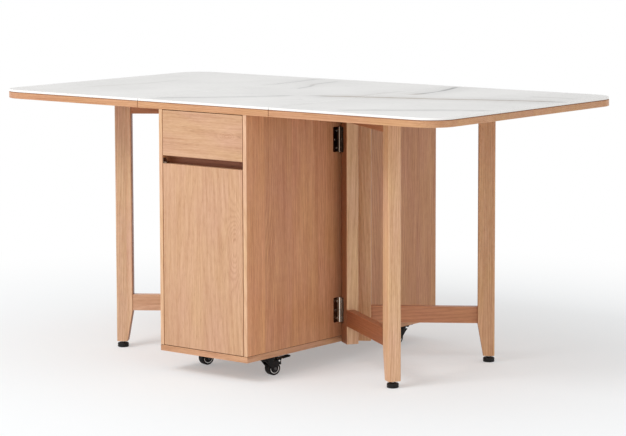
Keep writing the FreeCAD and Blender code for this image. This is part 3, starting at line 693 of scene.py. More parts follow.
@dataclass(frozen=True)
class Moulded(Finish):
    """Moulded plastic or rubber with a fine skin texture and scuffs."""

    name: str
    colour: Colour
    scuff: Colour
    roughness: float = 0.5
    skin_scale: float = 1600.0
    skin_depth: float = 0.00005
    scuff_scale: float = 220.0
    scuff_range: Range = (0.55, 0.75)
    scuff_share: float = 0.6
    scuff_rough: float = 0.2
    shine: float = 0.22

    def paint(self, board: NodeBoard) -> None:
        """Paints the skin and the scuffs.

        Args:
            board: the material's tree, cleared.
        """
        place = board.here()
        scuffs = board.fade(board.noise(place, self.scuff_scale, 4.0), *self.scuff_range, 0.0,
                            self.scuff_share)
        self.surface(board, board.mix(scuffs, self.colour, self.scuff),
                     scuffs * self.scuff_rough + self.roughness,
                     board.noise(place, self.skin_scale, 2.0), self.skin_depth, self.shine)


STONE = Stone()
# The paler stone of the slabs' edges is a painted highlight.
STONE_EDGE_HIGHLIGHT = Stone("stone_edge", ground=srgb(252, 251, 249), cloud=srgb(246, 245, 243), veins=())
NICKEL = Metal("nickelled_steel", srgb(226, 219, 208), roughness=0.14)
# Bronze: the door pivots' own finish, and on the upper gate hinges' knuckles painted shade under
# the top.
BRONZE_AND_SHADE = Metal("bronzed_steel", srgb(150, 130, 112), roughness=0.2)
# The lower gate hinges' leaves: their brown is a painted reflection of the wood around them.
LEAF_PAINTED_REFLECTION = Metal("hinge_leaf_steel", srgb(128, 100, 80), roughness=0.26)
# The upper gate hinges' leaves, darker than the lower ones: painted shade.
LEAF_PAINTED_SHADE = Metal("dark_leaf_steel", srgb(70, 50, 38), roughness=0.3)
BRIGHT = Metal("bright_zinc", srgb(222, 222, 220), roughness=0.2)
ZINC = Metal("dull_zinc", srgb(84, 82, 82), roughness=0.3)
BLACK_STEEL = Metal("black_coated_steel", srgb(17, 15, 15), roughness=0.45, metallic=0.0)
TYRE = Moulded("black_tyre", srgb(18, 16, 16), srgb(38, 36, 36), roughness=0.6)
HUB = Moulded("black_hub", srgb(15, 14, 14), srgb(30, 28, 28), roughness=0.4)
GLIDE_BLACK = Moulded("glide_black", srgb(32, 31, 31), srgb(60, 58, 56), roughness=0.48)
# A dark joint line under each slab, with painted shade of the gap there; the shadow line is
# painted shadow in the joint of a side and the base.
JOINT_AND_SHADE_LINE = Moulded("joint_line", srgb(156, 106, 76), srgb(132, 86, 58), roughness=0.8)
SHADOW_LINE = Moulded("shadow_line", srgb(96, 56, 36), srgb(80, 44, 28), roughness=0.8)


# ---------------------------------------------------------------- the bench


@contextmanager
def edit_mode() -> Iterator[None]:
    """Edit mode on the active piece for the length of a with block.

    Yields:
        Nothing: the block runs in edit mode.
    """
    bpy.ops.object.mode_set(mode="EDIT")
    yield
    bpy.ops.object.mode_set(mode="OBJECT")


def activate(*objects: bpy.types.Object) -> None:
    """Makes these the only selected objects, and the first of them the active one.

    Args:
        objects: the objects. With none, nothing stays selected.
    """
    bpy.ops.object.select_all(action="DESELECT")
    for obj in objects:
        obj.select_set(True)
    if objects:
        bpy.context.view_layer.objects.active = objects[0]


def link_active(obj: bpy.types.Object) -> None:
    """Puts a new object into the scene as the only selected and the active one."""
    bpy.context.scene.collection.objects.link(obj)
    activate(obj)


class Workpiece:
    """A piece on the bench, shaped from a primitive with the tools of edit mode."""

    def __init__(self, name: str, *finishes: Finish) -> None:
        """Takes the active object as the piece and gives it its finishes in order.

        Args:
            name: the name of the piece and of its mesh.
            finishes: its finishes, which are numbered from 0.
        """
        self.obj = bpy.context.object
        self.obj.name = self.obj.data.name = name
        bpy.ops.object.transform_apply(location=True, rotation=True, scale=True)
        for finish in finishes:
            self.obj.data.materials.append(finish.material())

    @classmethod
    def block(cls, name: str, low: Place, high: Place, *finishes: Finish) -> "Workpiece":
        """A squared block between two corners.

        Args:
            name: the piece's name.
            low: the corner nearest -X, -Y and -Z.
            high: the corner opposite it.
            finishes: its finishes in order.

        Returns:
            The block.
        """
        low, high = Vector(low), Vector(high)
        activate()
        bpy.ops.mesh.primitive_cube_add(size=1, location=(low + high) / 2, scale=high - low)
        return cls(name, *finishes)

    @classmethod
    def turned(cls, name: str, profile: Sequence[tuple[float, float]], *finishes: Finish,
               sides: int = 48) -> "Workpiece":
        """A round piece turned about Z.

        Args:
            name: the piece's name.
            profile: (radius, height) stations from the bottom to the top.
            finishes: its finishes in order.
            sides: how many flats the round has.

        Returns:
            The piece, closed at both ends.
        """
        (radius, height), *stations = profile
        activate()
        bpy.ops.mesh.primitive_circle_add(vertices=sides, radius=radius, fill_type="NGON",
                                          location=(0, 0, height))
        piece = cls(name, *finishes)
        with edit_mode():
            bpy.ops.mesh.select_all(action="SELECT")
            for next_radius, next_height in stations:
                bpy.ops.mesh.extrude_region_move(
                    TRANSFORM_OT_translate={"value": (0, 0, next_height - height)})
                factor = next_radius / radius
                bpy.ops.transform.resize(value=(factor, factor, 1),
                                         center_override=(0, 0, next_height))
                radius, height = next_radius, next_height
            bpy.ops.mesh.select_all(action="SELECT")
            bpy.ops.mesh.normals_make_consistent(inside=False)
        return piece

    @classmethod
    def from_solid(cls, name: str, node: str, *finishes: Finish) -> "Workpiece":
        """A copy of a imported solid, merged and cleared of its triangle lines.

        Args:
            name: the piece's name.
            node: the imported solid's node.
            finishes: its finishes in order.

        Returns:
            The copy.
        """
        copy = frame["nodes"][node].copy()
        copy.data = copy.data.copy()
        copy.data.materials.clear()
        copy.parent = None
        for key in list(copy.keys()):
            del copy[key]
        link_active(copy)
        piece = cls(name, *finishes)
        with edit_mode():
            bpy.ops.mesh.customdata_custom_splitnormals_clear()
            bpy.ops.mesh.select_all(action="SELECT")
            bpy.ops.mesh.remove_doubles(threshold=TOUCH)
            bpy.ops.mesh.dissolve_limited(angle_limit=math.radians(1))
        return piece

    def pick(self, kind: str, test: Test) -> "Workpiece":
        """Selects the faces or the edges that pass a test.

        Args:
            kind: "FACE" or "EDGE".
            test: asked with each one's middle, and a face's normal or an edge's direction.

        Returns:
            The piece itself.
        """
        activate(self.obj)
        bpy.context.tool_settings.mesh_select_mode = (False, kind == "EDGE", kind == "FACE")
        mesh = self.obj.data
        for part in (mesh.vertices, mesh.edges, mesh.polygons):
            part.foreach_set("select", [False] * len(part))
        if kind == "FACE":
            for polygon in mesh.polygons:
                polygon.select = test(polygon.center, polygon.normal)
        else:
            for edge in mesh.edges:
                first, last = (mesh.vertices[index].co for index in edge.vertices)
                edge.select = test((first + last) / 2, (last - first).normalized())
        return self

    def ease(self, test: Test, width: float, segments: int = 2, finish: int = -1) -> "Workpiece":
        """Rounds the edges that pass a test, and gives the new faces a finish by its number.

        Args:
            test: picks the edges.
            width: how wide the rounding is.
            segments: how many steps it has.
            finish: the finish of the new faces, by its number, or -1 for the one beside.

        Returns:
            The piece itself.
        """
        self.pick("EDGE", test)
        with edit_mode():
            bpy.ops.mesh.bevel(offset=width, segments=segments, affect="EDGES",
                               material=finish, clamp_overlap=True)
        return self

    def inset(self, thickness: float, depth: float = 0.0) -> "Workpiece":
        """Insets the picked faces and sinks or raises them.

        Args:
            thickness: how far in from the rim.
            depth: how far out of the face, or into it where negative.

        Returns:
            The piece itself.
        """
        with edit_mode():
            bpy.ops.mesh.inset(thickness=thickness, depth=depth)
        return self

    def move(self, value: Place) -> "Workpiece":
        """Moves what is picked.

        Args:
            value: the move along the three axes.

        Returns:
            The piece itself.
        """
        with edit_mode():
            bpy.ops.transform.translate(value=value)
        return self

    def cut(self, point: Place, normal: Place, trim: bool = False) -> "Workpiece":
        """Cuts new edges where a plane meets the piece, or trims off what lies beyond it.

        Args:
            point: a point on the plane.
            normal: the plane's normal.
            trim: True to take off the side that the normal points to.

        Returns:
            The piece itself.
        """
        activate(self.obj)
        with edit_mode():
            bpy.ops.mesh.select_all(action="SELECT")
            bpy.ops.mesh.bisect(plane_co=point, plane_no=normal, use_fill=trim,
                                clear_outer=trim)
        return self

    def stain(self, finish: int, test: Test) -> "Workpiece":
        """Gives the faces that pass a test a finish by its number.

        Args:
            finish: the finish's number.
            test: picks the faces.

        Returns:
            The piece itself.
        """
        for polygon in self.obj.data.polygons:
            if test(polygon.center, polygon.normal):
                polygon.material_index = finish
        return self

    def turn(self, place: Matrix) -> "Workpiece":
        """Turns and moves the piece's mesh, and keeps its faces outward if it is mirrored.

        Args:
            place: the turn and the move, as one matrix.

        Returns:
            The piece itself.
        """
        self.obj.data.transform(place)
        if place.determinant() < 0:
            self.obj.data.flip_normals()
        return self

    def copied(self, name: str, place: Matrix) -> "Workpiece":
        """A copy with its own mesh, turned and moved.

        Args:
            name: the copy's name.
            place: the turn and the move, as one matrix.

        Returns:
            The copy.
        """
        copy = self.obj.copy()
        copy.data = self.obj.data.copy()
        link_active(copy)
        return Workpiece(name).turn(place)

    def with_parts(self, parts: Sequence["Workpiece"]) -> "Workpiece":
        """Joins other pieces into this one.

        Args:
            parts: the pieces that it takes in.

        Returns:
            The piece itself.
        """
        activate(self.obj, *(part.obj for part in parts))
        bpy.ops.object.join()
        return self

    def scrap(self) -> None:
        """Takes a pattern piece off the bench once it has been copied."""
        bpy.data.objects.remove(self.obj)

    def finish(self, body: str, slot: str, *nodes: str, smooth: float = 40.0) -> "Workpiece":
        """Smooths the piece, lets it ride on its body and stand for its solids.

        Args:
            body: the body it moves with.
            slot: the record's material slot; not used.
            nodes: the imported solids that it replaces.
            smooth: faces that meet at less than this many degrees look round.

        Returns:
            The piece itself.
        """
        activate(self.obj)
        bpy.ops.object.shade_smooth_by_angle(angle=math.radians(smooth))
        weighted = self.obj.modifiers.new("weighted", "WEIGHTED_NORMAL")
        weighted.keep_sharp = True
        bpy.ops.object.modifier_apply(modifier=weighted.name)
        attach(self.obj, body)
        if nodes:
            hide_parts(*nodes)
        log.info("%s: %d faces on %s", self.obj.name, len(self.obj.data.polygons), body)
        return self


def body_of(node: str) -> str:
    """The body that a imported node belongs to."""
    return frame["nodes"][node]["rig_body"]


def joint_named(name: str) -> dict:
    """A joint of the frame by its name."""
    return next(joint for joint in frame["joints"] if joint["name"] == name)


def dress_node(node: str, finish: Finish) -> None:
    """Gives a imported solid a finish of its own.

    Args:
        node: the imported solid's node.
        finish: its finish.
    """
    mesh = frame["nodes"][node].data
    mesh.materials.clear()
    mesh.materials.append(finish.material())
    log.info("%s: packed solid in %s", node, finish.name)


def running(axis: str, share: float = 0.5) -> Test:
    """A test for edges or normals that run mostly, or by a given share, along an axis."""
    return lambda middle, direction: abs(getattr(direction, axis)) > share


def athwart(axis: str, share: float = 0.5) -> Test:
    """A test for edges or normals that run mostly across an axis."""
    return lambda middle, direction: abs(getattr(direction, axis)) < share


upright = running("z", ALIGNED)


def lying(middle: Vector, direction: Vector) -> bool:
    """True for an edge that lies level."""
    return abs(direction.z) < TOUCH


def everything(middle: Vector, direction: Vector) -> bool:
    """True for anything."""
    return True


# ---------------------------------------------------------------- cabinet


class End(Enum):
    """The ends of the cabinet: the side a door opens at, and the seeds of door and drawer."""

    FRONT = (1.0, 7.0, 21.0)
    REAR = (-1.0, 8.0, 22.0)

    @property
    def label(self) -> str:
        """The end's name in the frame."""
        return self.name.lower()


@dataclass
class Cabinet:
    """The case: base, sides, fronts and what is inside them."""

    arris: float = 0.0009
    front_arris: float = 0.0012
    joint_arris: float = 0.0013
    lipping_slope: float = 0.75
    hinge_round: float = 0.002
    hinge_side: float = 0.9
    lip: float = 0.004
    drop: float = 0.008
    one_board: float = 0.3
    side_seeds: tuple[tuple[str, float], ...] = (("left", 17.0), ("right", 1547.0))
    front_tones: Tones = two_tone((222, 181, 146), (180, 128, 93))
    # The side panels' oak is redder and more saturated than the fronts': partly its own tone,
    # partly painted shade of the side that faces away from the lamp.
    side_tones: Tones = two_tone((229, 174, 130), (176, 110, 70))
    base_tones: Tones = two_tone((216, 168, 132), (182, 128, 92))
    lipping_tones: Tones = two_tone((230, 189, 154), (208, 161, 124))
    inner_tones: Tones = two_tone((222, 182, 146), (182, 128, 92))
    # The finger slot's shelves take darker oak: painted shade in the slot.
    slot_tones: Tones = two_tone((178, 112, 80), (138, 80, 54))

    def build(self) -> None:
        """Builds the whole cabinet."""
        self.base()
        for side, seed in self.side_seeds:
            self.side(side, seed)
        for end in End:
            self.door(end)
            self.drawer_front(end)
        self.insides()

    def base(self) -> None:
        """The base panel, with its grain along each edge."""
        face = Oak("base_oak", Grain.ALONG_X, self.base_tones, stave_width=self.one_board,
                   ring_spacing=0.005, seed=3.0)
        side = replace(face, name="base_side_oak", grain=Grain.ALONG_Y, seed=4.0)
        board = Workpiece.block("base_board", *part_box("base_panel"), face, face.rubbed(), side)
        board.ease(everything, self.arris, finish=1)
        board.stain(2, running("x", ALIGNED))
        board.finish("cabinet", "case_wood", "base_panel")

    def side(self, side: str, seed: float) -> None:
        """A side panel: glued staves, with a plain lipping on its two upright edges.

        Args:
            side: left or right.
            seed: which stretch of the oak it shows.
        """
        node = f"side_panel_{side}"
        low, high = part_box(node)
        staves = Oak(f"{side}_side_oak", Grain.UPRIGHT_SIDE, self.side_tones, stave_width=0.115,
                     stave_contrast=0.28, band=0.6, start=(0.355, 0.0, 0.0), seed=seed,
                     figure=Figure(across=0.045, along=0.49, half_width=0.03,
                                   half_length=0.12, lift=0.04))
        lipping = Oak(f"{side}_lipping_oak", Grain.UPRIGHT, self.lipping_tones, stave_width=0.4,
                      ring_spacing=0.004, seed=5.0)
        panel = Workpiece.block(f"{side}_side_board", low, high, staves, lipping, SHADOW_LINE)
        panel.ease(upright, self.front_arris, segments=3, finish=1)
        panel.ease(lambda spot, way: lying(spot, way) and spot.z > low.z + TOUCH, self.arris)
        panel.ease(lambda spot, way: lying(spot, way) and near(spot.z, low.z), self.joint_arris,
                   segments=1, finish=2)
        panel.stain(1, running("y", self.lipping_slope))
        panel.finish("cabinet", "case_wood", node)

    def door(self, end: End) -> None:
        """A door: upright grain with one closed figure near its opening edge.

        Args:
            end: the end of the cabinet that it closes.
        """
        node = f"door_{end.label}"
        opening, seed, _ = end.value
        low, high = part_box(node)
        oak = Oak(f"{end.label}_door_oak", Grain.UPRIGHT, self.front_tones, stave_width=0.094,
                  stave_contrast=0.03, ring_strength=0.16, wander=0.012, band=0.4, drift=0.2,
                  seed=seed, figure=Figure(across=0.118 * opening, along=0.370,
                                           half_width=0.028, half_length=0.080, lift=0.045))
        door = Workpiece.block(f"{end.label}_door_board", low, high, oak, oak.rubbed())
        face = max(abs(low.y), abs(high.y))
        door.ease(lambda spot, way: (upright(spot, way) and spot.x * opening < 0
                                     and near(abs(spot.y), face)),
                  self.hinge_round, segments=4, finish=1)
        hinged = -high.x * self.hinge_side
        door.ease(lambda spot, way: (max(map(abs, way)) > ALIGNED
                                     and not (upright(spot, way) and spot.x * opening < hinged)),
                  self.arris, finish=1)
        door.finish(body_of(node), "front_wood", node)

    def drawer_front(self, end: End) -> None:
        """A drawer front, its grain lying across.

        Args:
            end: the end of the cabinet that it is at.
        """
        node = f"drawer_front_{end.label}"
        oak = Oak(f"{end.label}_drawer_oak", Grain.ALONG_X, self.front_tones,
                  stave_width=self.one_board, pith_aside=0.12, ring_strength=0.18, wander=0.012,
                  band=0.4, seed=end.value[-1],
                  figure=Figure(across=0.664, along=0.088, half_width=0.010,
                                half_length=0.022, lift=0.02, darkness=0.1))
        board = Workpiece.block(f"{end.label}_drawer_board", *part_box(node), oak, oak.rubbed())
        board.ease(everything, self.arris, segments=3, finish=1)
        board.finish(body_of(node), "front_wood", node)

    def insides(self) -> None:
        """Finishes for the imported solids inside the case, and the drawer shelves."""
        box_oak = Oak("drawer_box_oak", Grain.ALONG_Y, self.inner_tones, seed=33.0,
                      stave_width=0.2)
        dress_node("centre_divider", Oak("divider_oak", Grain.UPRIGHT, self.inner_tones,
                                         seed=31.0))
        dress_node("cupboard_shelves", Oak("shelf_oak", Grain.ALONG_X, self.inner_tones,
                                           seed=32.0))
        for node in ("top_cleats", "drawer_runners", "drawer_box_front", "drawer_box_rear"):
            dress_node(node, box_oak)
        dress_node("door_pivots", BRONZE_AND_SHADE)
        # Painted shade: the slot shelves' oak is darker than the rest.
        self.shelves(Oak("slot_oak", Grain.ALONG_X, self.slot_tones, stave_width=self.one_board,
                         seed=34.0))

    def shelves(self, oak: Oak) -> None:
        """The shelves under the drawers, with a lip on each edge that a closed door meets.

        Args:
            oak: their finish.
        """
        node = "drawer_shelves"
        low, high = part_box(node)
        shelves = Workpiece.from_solid("slot_shelves", node, oak)
        lips = [Workpiece.block(f"{end}_slot_lip", (low.x, edge, low.z - self.drop),
                                (high.x, edge + self.lip, low.z + TOUCH), oak)
                for end, edge in (("front", low.y), ("rear", high.y - self.lip))]
        shelves.with_parts(lips).finish("cabinet", "case_wood", node)


# ---------------------------------------------------------------- top


@dataclass
class TableTop:
    """The fixed middle and the two leaves: a wood panel under a stone slab each."""

    wood_arris: float = 0.0012
    slab_arris: float = 0.0008
    joint_height: float = 0.0022
    edge_slope: float = 0.9
    hinge_length: float = 0.06
    hinge_margin: float = 0.005
    edge_tones: Tones = two_tone((218, 169, 128), (180, 122, 82))

    def build(self) -> None:
        """Builds the three panels and the three slabs."""
        for part in ("middle_top_{}", "leaf_{}_left", "leaf_{}_right"):
            self.panel(part.format("panel"))
            self.slab(part.format("slab"))
        for node in ("leaf_hinge_plates", "leaf_hinge_wings_left", "leaf_hinge_wings_right"):
            dress_node(node, NICKEL)

    def panel(self, node: str) -> None:
        """A wood panel, its hinge recesses kept and its rim rounded over.

        Args:
            node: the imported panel's node.
        """
        low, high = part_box(node)
        oak = Oak(f"{node}_oak", Grain.FLAT_X, self.edge_tones, stave_width=0.09,
                  ring_spacing=0.005, seed=low.x * 10)
        board = Workpiece.from_solid(f"{node}_board", node, oak, oak.rubbed(), JOINT_AND_SHADE_LINE)
        board.ease(lambda spot, way: (lying(spot, way) and near(spot.z, low.z)
                                      and not self.in_recess(spot)),
                   self.wood_arris, segments=3, finish=1)
        # The top rim becomes a dark band: the glued joint under the slab, with painted shade.
        board.ease(lambda spot, way: near(spot.z, high.z), self.joint_height, segments=1,
                   finish=2)
        board.finish(body_of(node), "top_wood", node)

    def in_recess(self, middle: Vector) -> bool:
        """True near a seam's hinges, where the rim stays sharp.

        Args:
            middle: the middle of an edge.

        Returns:
            True where a hinge is let in.
        """
        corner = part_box("leaf_hinge_plates")[1]
        inner, outer = corner.y - self.hinge_length, corner.y + self.hinge_margin
        return (abs(abs(middle.x) - corner.x) < self.hinge_length / 2
                and inner - self.hinge_margin < abs(middle.y) < outer)

    def slab(self, node: str) -> None:
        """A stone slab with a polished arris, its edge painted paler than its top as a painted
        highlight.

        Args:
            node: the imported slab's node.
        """
        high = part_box(node)[1]
        board = Workpiece.from_solid(f"{node}_stone", node, STONE, STONE_EDGE_HIGHLIGHT)
        board.ease(lambda spot, way: near(spot.z, high.z), self.slab_arris, segments=3)
        # The slabs' edge faces take the paler stone: a painted highlight.
        board.stain(1, lambda spot, normal: abs(normal.z) < self.edge_slope)
        board.finish(body_of(node), "stone", node, smooth=30.0)


# ---------------------------------------------------------------- gates


@dataclass
class Gate:
    """One gate: stile, leg, rails and glide; the moving leaves of its hinges are built by
    GateHinges.
    """

    name: str
    seed: float
    tones: Tones = two_tone((229, 188, 150), (186, 132, 94))
    stretcher_tones: Tones = two_tone((204, 146, 108), (160, 100, 68))
    rail_tones: Tones = two_tone((200, 142, 104), (156, 98, 66))
    # The darker oak of the inside faces is painted shade.
    inner_tones: Tones = two_tone((170, 116, 82), (134, 80, 50))
    post_round: float = 0.004
    end_arris: float = 0.0012
    rail_round: float = 0.0015
    thread: Place = (0.0026, 0.003, 0.001)
    thread_depth: float = 0.004
    pad_top: float = 0.013
    place: Matrix = field(init=False)
    turn: float = field(init=False)

    def __post_init__(self) -> None:
        """Works out where the gate stands from its hinge joint."""
        joint = joint_named(f"gate_{self.name}_fold")
        opened = math.radians(max(joint["range_deg"]))
        self.turn = self.end() * math.pi / 2 - joint["axis"][2] * opened
        self.place = at(*joint["pos_m"]) @ spin(self.turn, "Z")

    def end(self) -> int:
        """-1 for a gate of the front half, 1 for one of the rear half."""
        return -1 if self.name.startswith("front") else 1

    def build(self) -> None:
        """Builds the gate's pieces."""
        self.stile()
        self.leg()
        self.rail("top_rail", self.rail_tones)
        self.rail("stretcher", self.stretcher_tones)
        self.glide()

    def local_box(self, part: str) -> tuple[Vector, Vector]:
        """The box of one of the gate's solids along the gate's own axes.

        Args:
            part: the solid's name, without the gate's.

        Returns:
            The two opposite corners.
        """
        back = self.place.inverted()
        mesh = frame["nodes"][f"{part}_{self.name}"].data
        points = [back @ vertex.co for vertex in mesh.vertices]
        return tuple(Vector(best(point[axis] for point in points) for axis in range(3))
                     for best in (min, max))

    def oak(self, part: str, grain: Grain, seed: float, tones: Tones, **changes: object) -> Oak:
        """The oak of one part, its grain turned with the gate.

        Args:
            part: the part's name.
            grain: the way its grain runs.
            seed: which stretch of the oak it shows, counted from the gate's own.
            tones: its light and its dark colour.
            changes: what else differs from the gate's usual oak.

        Returns:
            The finish.
        """
        start = self.place.inverted().translation
        settings = {"stave_width": 0.08, "ring_spacing": 0.006, "ring_strength": 0.14,
                    "wander": 0.012, "band": 0.5} | changes
        return Oak(f"{part}_{self.name}_oak", grain, tones, self.turn, seed=self.seed + seed,
                   start=(start.x, start.y, 0.0) if grain is Grain.UPRIGHT else (0.0, 0.0, 0.0),
                   **settings)

    def post(self, part: str, seed: float, **changes: object) -> Workpiece:
        """A squared post, with painted shade on its face on the gate's inside.

        Args:
            part: the part's name.
            seed: which stretch of the oak it shows.
            changes: what else differs from the gate's usual oak.

        Returns:
            The post, along the gate's own axes.
        """
        oak = self.oak(part, Grain.UPRIGHT, seed, self.tones, **changes)
        shaded = self.oak(f"{part}_inside", Grain.UPRIGHT, seed, self.inner_tones)
        return Workpiece.block(f"{self.name}_{part}_post", *self.local_box(part), oak,
                               oak.rubbed(), shaded)

    def fit(self, piece: Workpiece, part: str, slot: str = "gate_wood") -> None:
        """Turns a finished piece to where the gate stands."""
        piece.turn(self.place).finish(f"gate_{self.name}", slot, f"{part}_{self.name}")

    def stile(self) -> None:
        """The post beside the cabinet."""
        post = self.post("stile", 1.0)
        # The stile's inside face takes painted shade.
        post.stain(2, lambda spot, normal: normal.y * self.end() > ALIGNED)
        post.ease(upright, self.post_round, segments=4).ease(lying, self.end_arris, finish=1)
        self.fit(post, "stile")

    def leg(self) -> None:
        """The outer post, straight outside and tapered inside near its foot."""
        low, high = self.local_box("leg")
        shoulder = self.local_box("stretcher")[0].z
        glide_low, glide_high = self.local_box("glide")
        toe = 2 * (high.x - (glide_low.x + glide_high.x) / 2)
        post = self.post("leg", 2.0, stave_width=0.026, stave_contrast=0.1)
        # The leg's inner end face takes painted shade.
        post.stain(2, lambda spot, normal: normal.x < -ALIGNED).cut((0, 0, shoulder), (0, 0, 1))
        post.pick("EDGE", lambda spot, way: near(spot.z, low.z) and near(spot.x, low.x))
        post.move((high.x - low.x - toe, 0, 0))
        post.ease(running("z"), self.post_round, segments=4)
        post.ease(lambda spot, way: lying(spot, way) and not near(spot.z, shoulder),
                  self.end_arris, finish=1)
        self.fit(post, "leg")

    def rail(self, part: str, tones: Tones) -> None:
        """A rail between the two posts.

        Args:
            part: the part's name.
            tones: its light and its dark colour.
        """
        low, high = self.local_box(part)
        low.x, high.x = self.local_box("stile")[1].x, self.local_box("leg")[0].x
        oak = self.oak(part, Grain.ALONG_X, 3.0, tones)
        bar = Workpiece.block(f"{self.name}_{part}_bar", low, high, oak, oak.rubbed())
        self.fit(bar.ease(running("x"), self.rail_round, segments=3, finish=1), part)

    def glide(self) -> None:
        """The levelling glide: a moulded pad on a threaded steel stem."""
        low, high = self.local_box("glide")
        leg_level = self.local_box("leg")[0].z
        radius = (high.x - low.x) / 2
        top, lip, groove = self.pad_top, 0.0015, 0.0008
        root, crest, pitch = self.thread
        pad = Workpiece.turned(f"{self.name}_glide_pad", [
            (radius - 0.0025, 0), (radius - 0.0008, 0.0008), (radius, 0.003),
            (radius, 0.0052), (radius - groove, 0.0058), (radius - groove, 0.0072),
            (radius, 0.0078), (radius, top - 0.003), (radius - 0.001, top - 0.001),
            (radius - 0.0035, top), (0.009, top), (0.0085, top - lip),
            (0.0055, top - lip), (0.005, top + 0.0008), (0.002, top + 0.001),
        ], GLIDE_BLACK)
        stations = [(root, top)]
        for turn in range(int((leg_level - top) / pitch)):
            foot = top + turn * pitch
            stations += [(crest, foot + pitch / 3), (crest, foot + pitch / 2),
                         (root, foot + pitch)]
        stations.append((root, leg_level + self.thread_depth))
        stem = Workpiece.turned(f"{self.name}_glide_stem", stations, BRIGHT, sides=24)
        pad.with_parts([stem]).turn(at((low.x + high.x) / 2, (low.y + high.y) / 2, 0))
        self.fit(pad, "glide", "glide_plastic")


# ---------------------------------------------------------------- gate hinges


@dataclass
class GateHinges:
    """The lift-off hinges of the gates: plates on the cabinet, wings on the stiles."""

    leaf_width: float = 0.024
    leaf_thickness: float = 0.002
    height: float = 0.070
    knuckle: float = 0.0035
    knuckle_arris: float = 0.0005
    offset: float = 0.0038
    gap: float = 0.0003
    corner: float = 0.003
    pin_head: float = 0.0028
    pin_tip: float = 0.0018
    screw_radius: float = 0.0032
    screw_height: float = 0.0006
    cross: Place = (0.0019, 0.0003, 0.0006)
    screw_places: tuple[tuple[float, float], ...] = (
        (0.010, 0.011), (0.0175, 0.035), (0.010, 0.059))
    # The lower hinges take the lit coat and the upper hinges a darker coat, which is painted shade
    # under the top.
    coats: tuple[tuple[Finish, Finish], ...] = ((LEAF_PAINTED_REFLECTION, NICKEL), (LEAF_PAINTED_SHADE, BRONZE_AND_SHADE))

    def build(self, gates: Sequence[Gate]) -> None:
        """Builds the eight hinges from one modelled half of each kind.

        Args:
            gates: the gates that they carry.
        """
        for moving in (False, True):
            pattern = self.half("hinge_half", moving)
            for gate in gates:
                self.fit(pattern, gate, moving)
            pattern.scrap()

    def half(self, name: str, moving: bool) -> Workpiece:
        """One half of a hinge, along +X from its pin, its outer face towards -Y.

        Args:
            name: the name of the pattern piece.
            moving: True for the half on the gate, which has the upper knuckle.

        Returns:
            The half, its foot at height 0.
        """
        low_y = self.offset - self.leaf_thickness if moving else -self.offset
        high_y = low_y + self.leaf_thickness
        leaf = Workpiece.block(name, (self.offset, low_y, 0),
                               (self.leaf_width, high_y, self.height), LEAF_PAINTED_REFLECTION, NICKEL)
        leaf.ease(lambda spot, way: abs(way.y) > 0.5 and near(spot.x, self.leaf_width),
                  self.corner, segments=5)
        leaf.ease(athwart("y"), self.leaf_thickness / 8)
        middle = self.height / 2
        start, end = (middle + self.gap, self.height) if moving else (0.0, middle)
        arris, radius = self.knuckle_arris, self.knuckle
        parts = [
            Workpiece.block(f"{name}_strap", (0, low_y, start), (self.offset, high_y, end),
                            LEAF_PAINTED_REFLECTION),
            Workpiece.turned(f"{name}_barrel", [
                (radius - arris, start), (radius, start + arris), (radius, end - arris),
                (radius - arris, end)], NICKEL, sides=32)]
        if not moving:
            parts.append(self.pin(name))
        screw = self.screw(f"{name}_screw")
        facing = at(0, low_y if moving else high_y, 0) @ spin(
            math.pi / 2 if moving else -math.pi / 2, "X")
        for number, (reach, height) in enumerate(self.screw_places):
            parts.append(screw.copied(f"{name}_screw_{number}", at(reach, 0, height) @ facing))
        screw.scrap()
        return leaf.with_parts(parts)

    def pin(self, name: str) -> Workpiece:
        """The pin's button head under the lower knuckle and its tip above the upper one.

        Args:
            name: the start of its name.

        Returns:
            The pin, in its place.
        """
        head, tip = self.pin_head, self.pin_tip
        return Workpiece.turned(f"{name}_pin", [
            (head * 0.6, -0.0012), (head, -0.0006), (head, 0.0002), (tip, 0.0003),
            (tip, self.height - 0.001), (tip * 0.6, self.height - 0.0004),
        ], BRIGHT, sides=24)

    def screw(self, name: str) -> Workpiece:
        """A countersunk screw's head with its cross recess, facing +Z.

        Args:
            name: its name.

        Returns:
            The head, seated at height 0.
        """
        radius, height = self.screw_radius, self.screw_height
        head = Workpiece.turned(name, [
            (radius, -height), (radius, height / 6), (radius * 0.85, height * 2 / 3),
            (radius * 0.5, height), (radius * 0.2, height)], BRIGHT, sides=24)
        reach, width, depth = self.cross
        for along in (Vector((reach, width, depth)), Vector((width, reach, depth))):
            middle = Vector((0, 0, height))
            bit = Workpiece.block("cross_bit", middle - along, middle + along)
            activate(head.obj)
            recess = head.obj.modifiers.new("recess", "BOOLEAN")
            recess.operation = "DIFFERENCE"
            recess.object = bit.obj
            bpy.ops.object.modifier_apply(modifier=recess.name)
            bit.scrap()
        return head

    def fit(self, pattern: Workpiece, gate: Gate, moving: bool) -> None:
        """Fits one gate's upper and lower halves of one kind.

        Args:
            pattern: the modelled half.
            gate: the gate that it is for.
            moving: True for the half on the gate.
        """
        low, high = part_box(f"hinge_wings_{gate.name}")
        mirrored = Matrix.Scale(-1, 4, (0, 1, 0)) if gate.name in (
            "front_left", "rear_right") else Matrix.Identity(4)
        turn = spin(gate.turn if moving else gate.end() * math.pi / 2, "Z")
        kind = "wing" if moving else "plate"
        halves = []
        for name, foot, shading_coat in zip(("lower", "upper"), (low.z, high.z - self.height),
                                    self.coats):
            place = at(*gate.place.translation) @ at(0, 0, foot) @ turn @ mirrored
            half = pattern.copied(f"{gate.name}_{name}_hinge_{kind}", place)
            # The upper half takes the darker coat: painted shade.
            for number, finish in enumerate(shading_coat):
                half.obj.data.materials[number] = finish.material()
            halves.append(half)
        node = f"hinge_wings_{gate.name}" if moving else "gate_hinge_plates"
        body = f"gate_{gate.name}" if moving else "cabinet"
        halves[0].with_parts(halves[1:]).finish(body, "hinge_steel", node)


# ---------------------------------------------------------------- castors


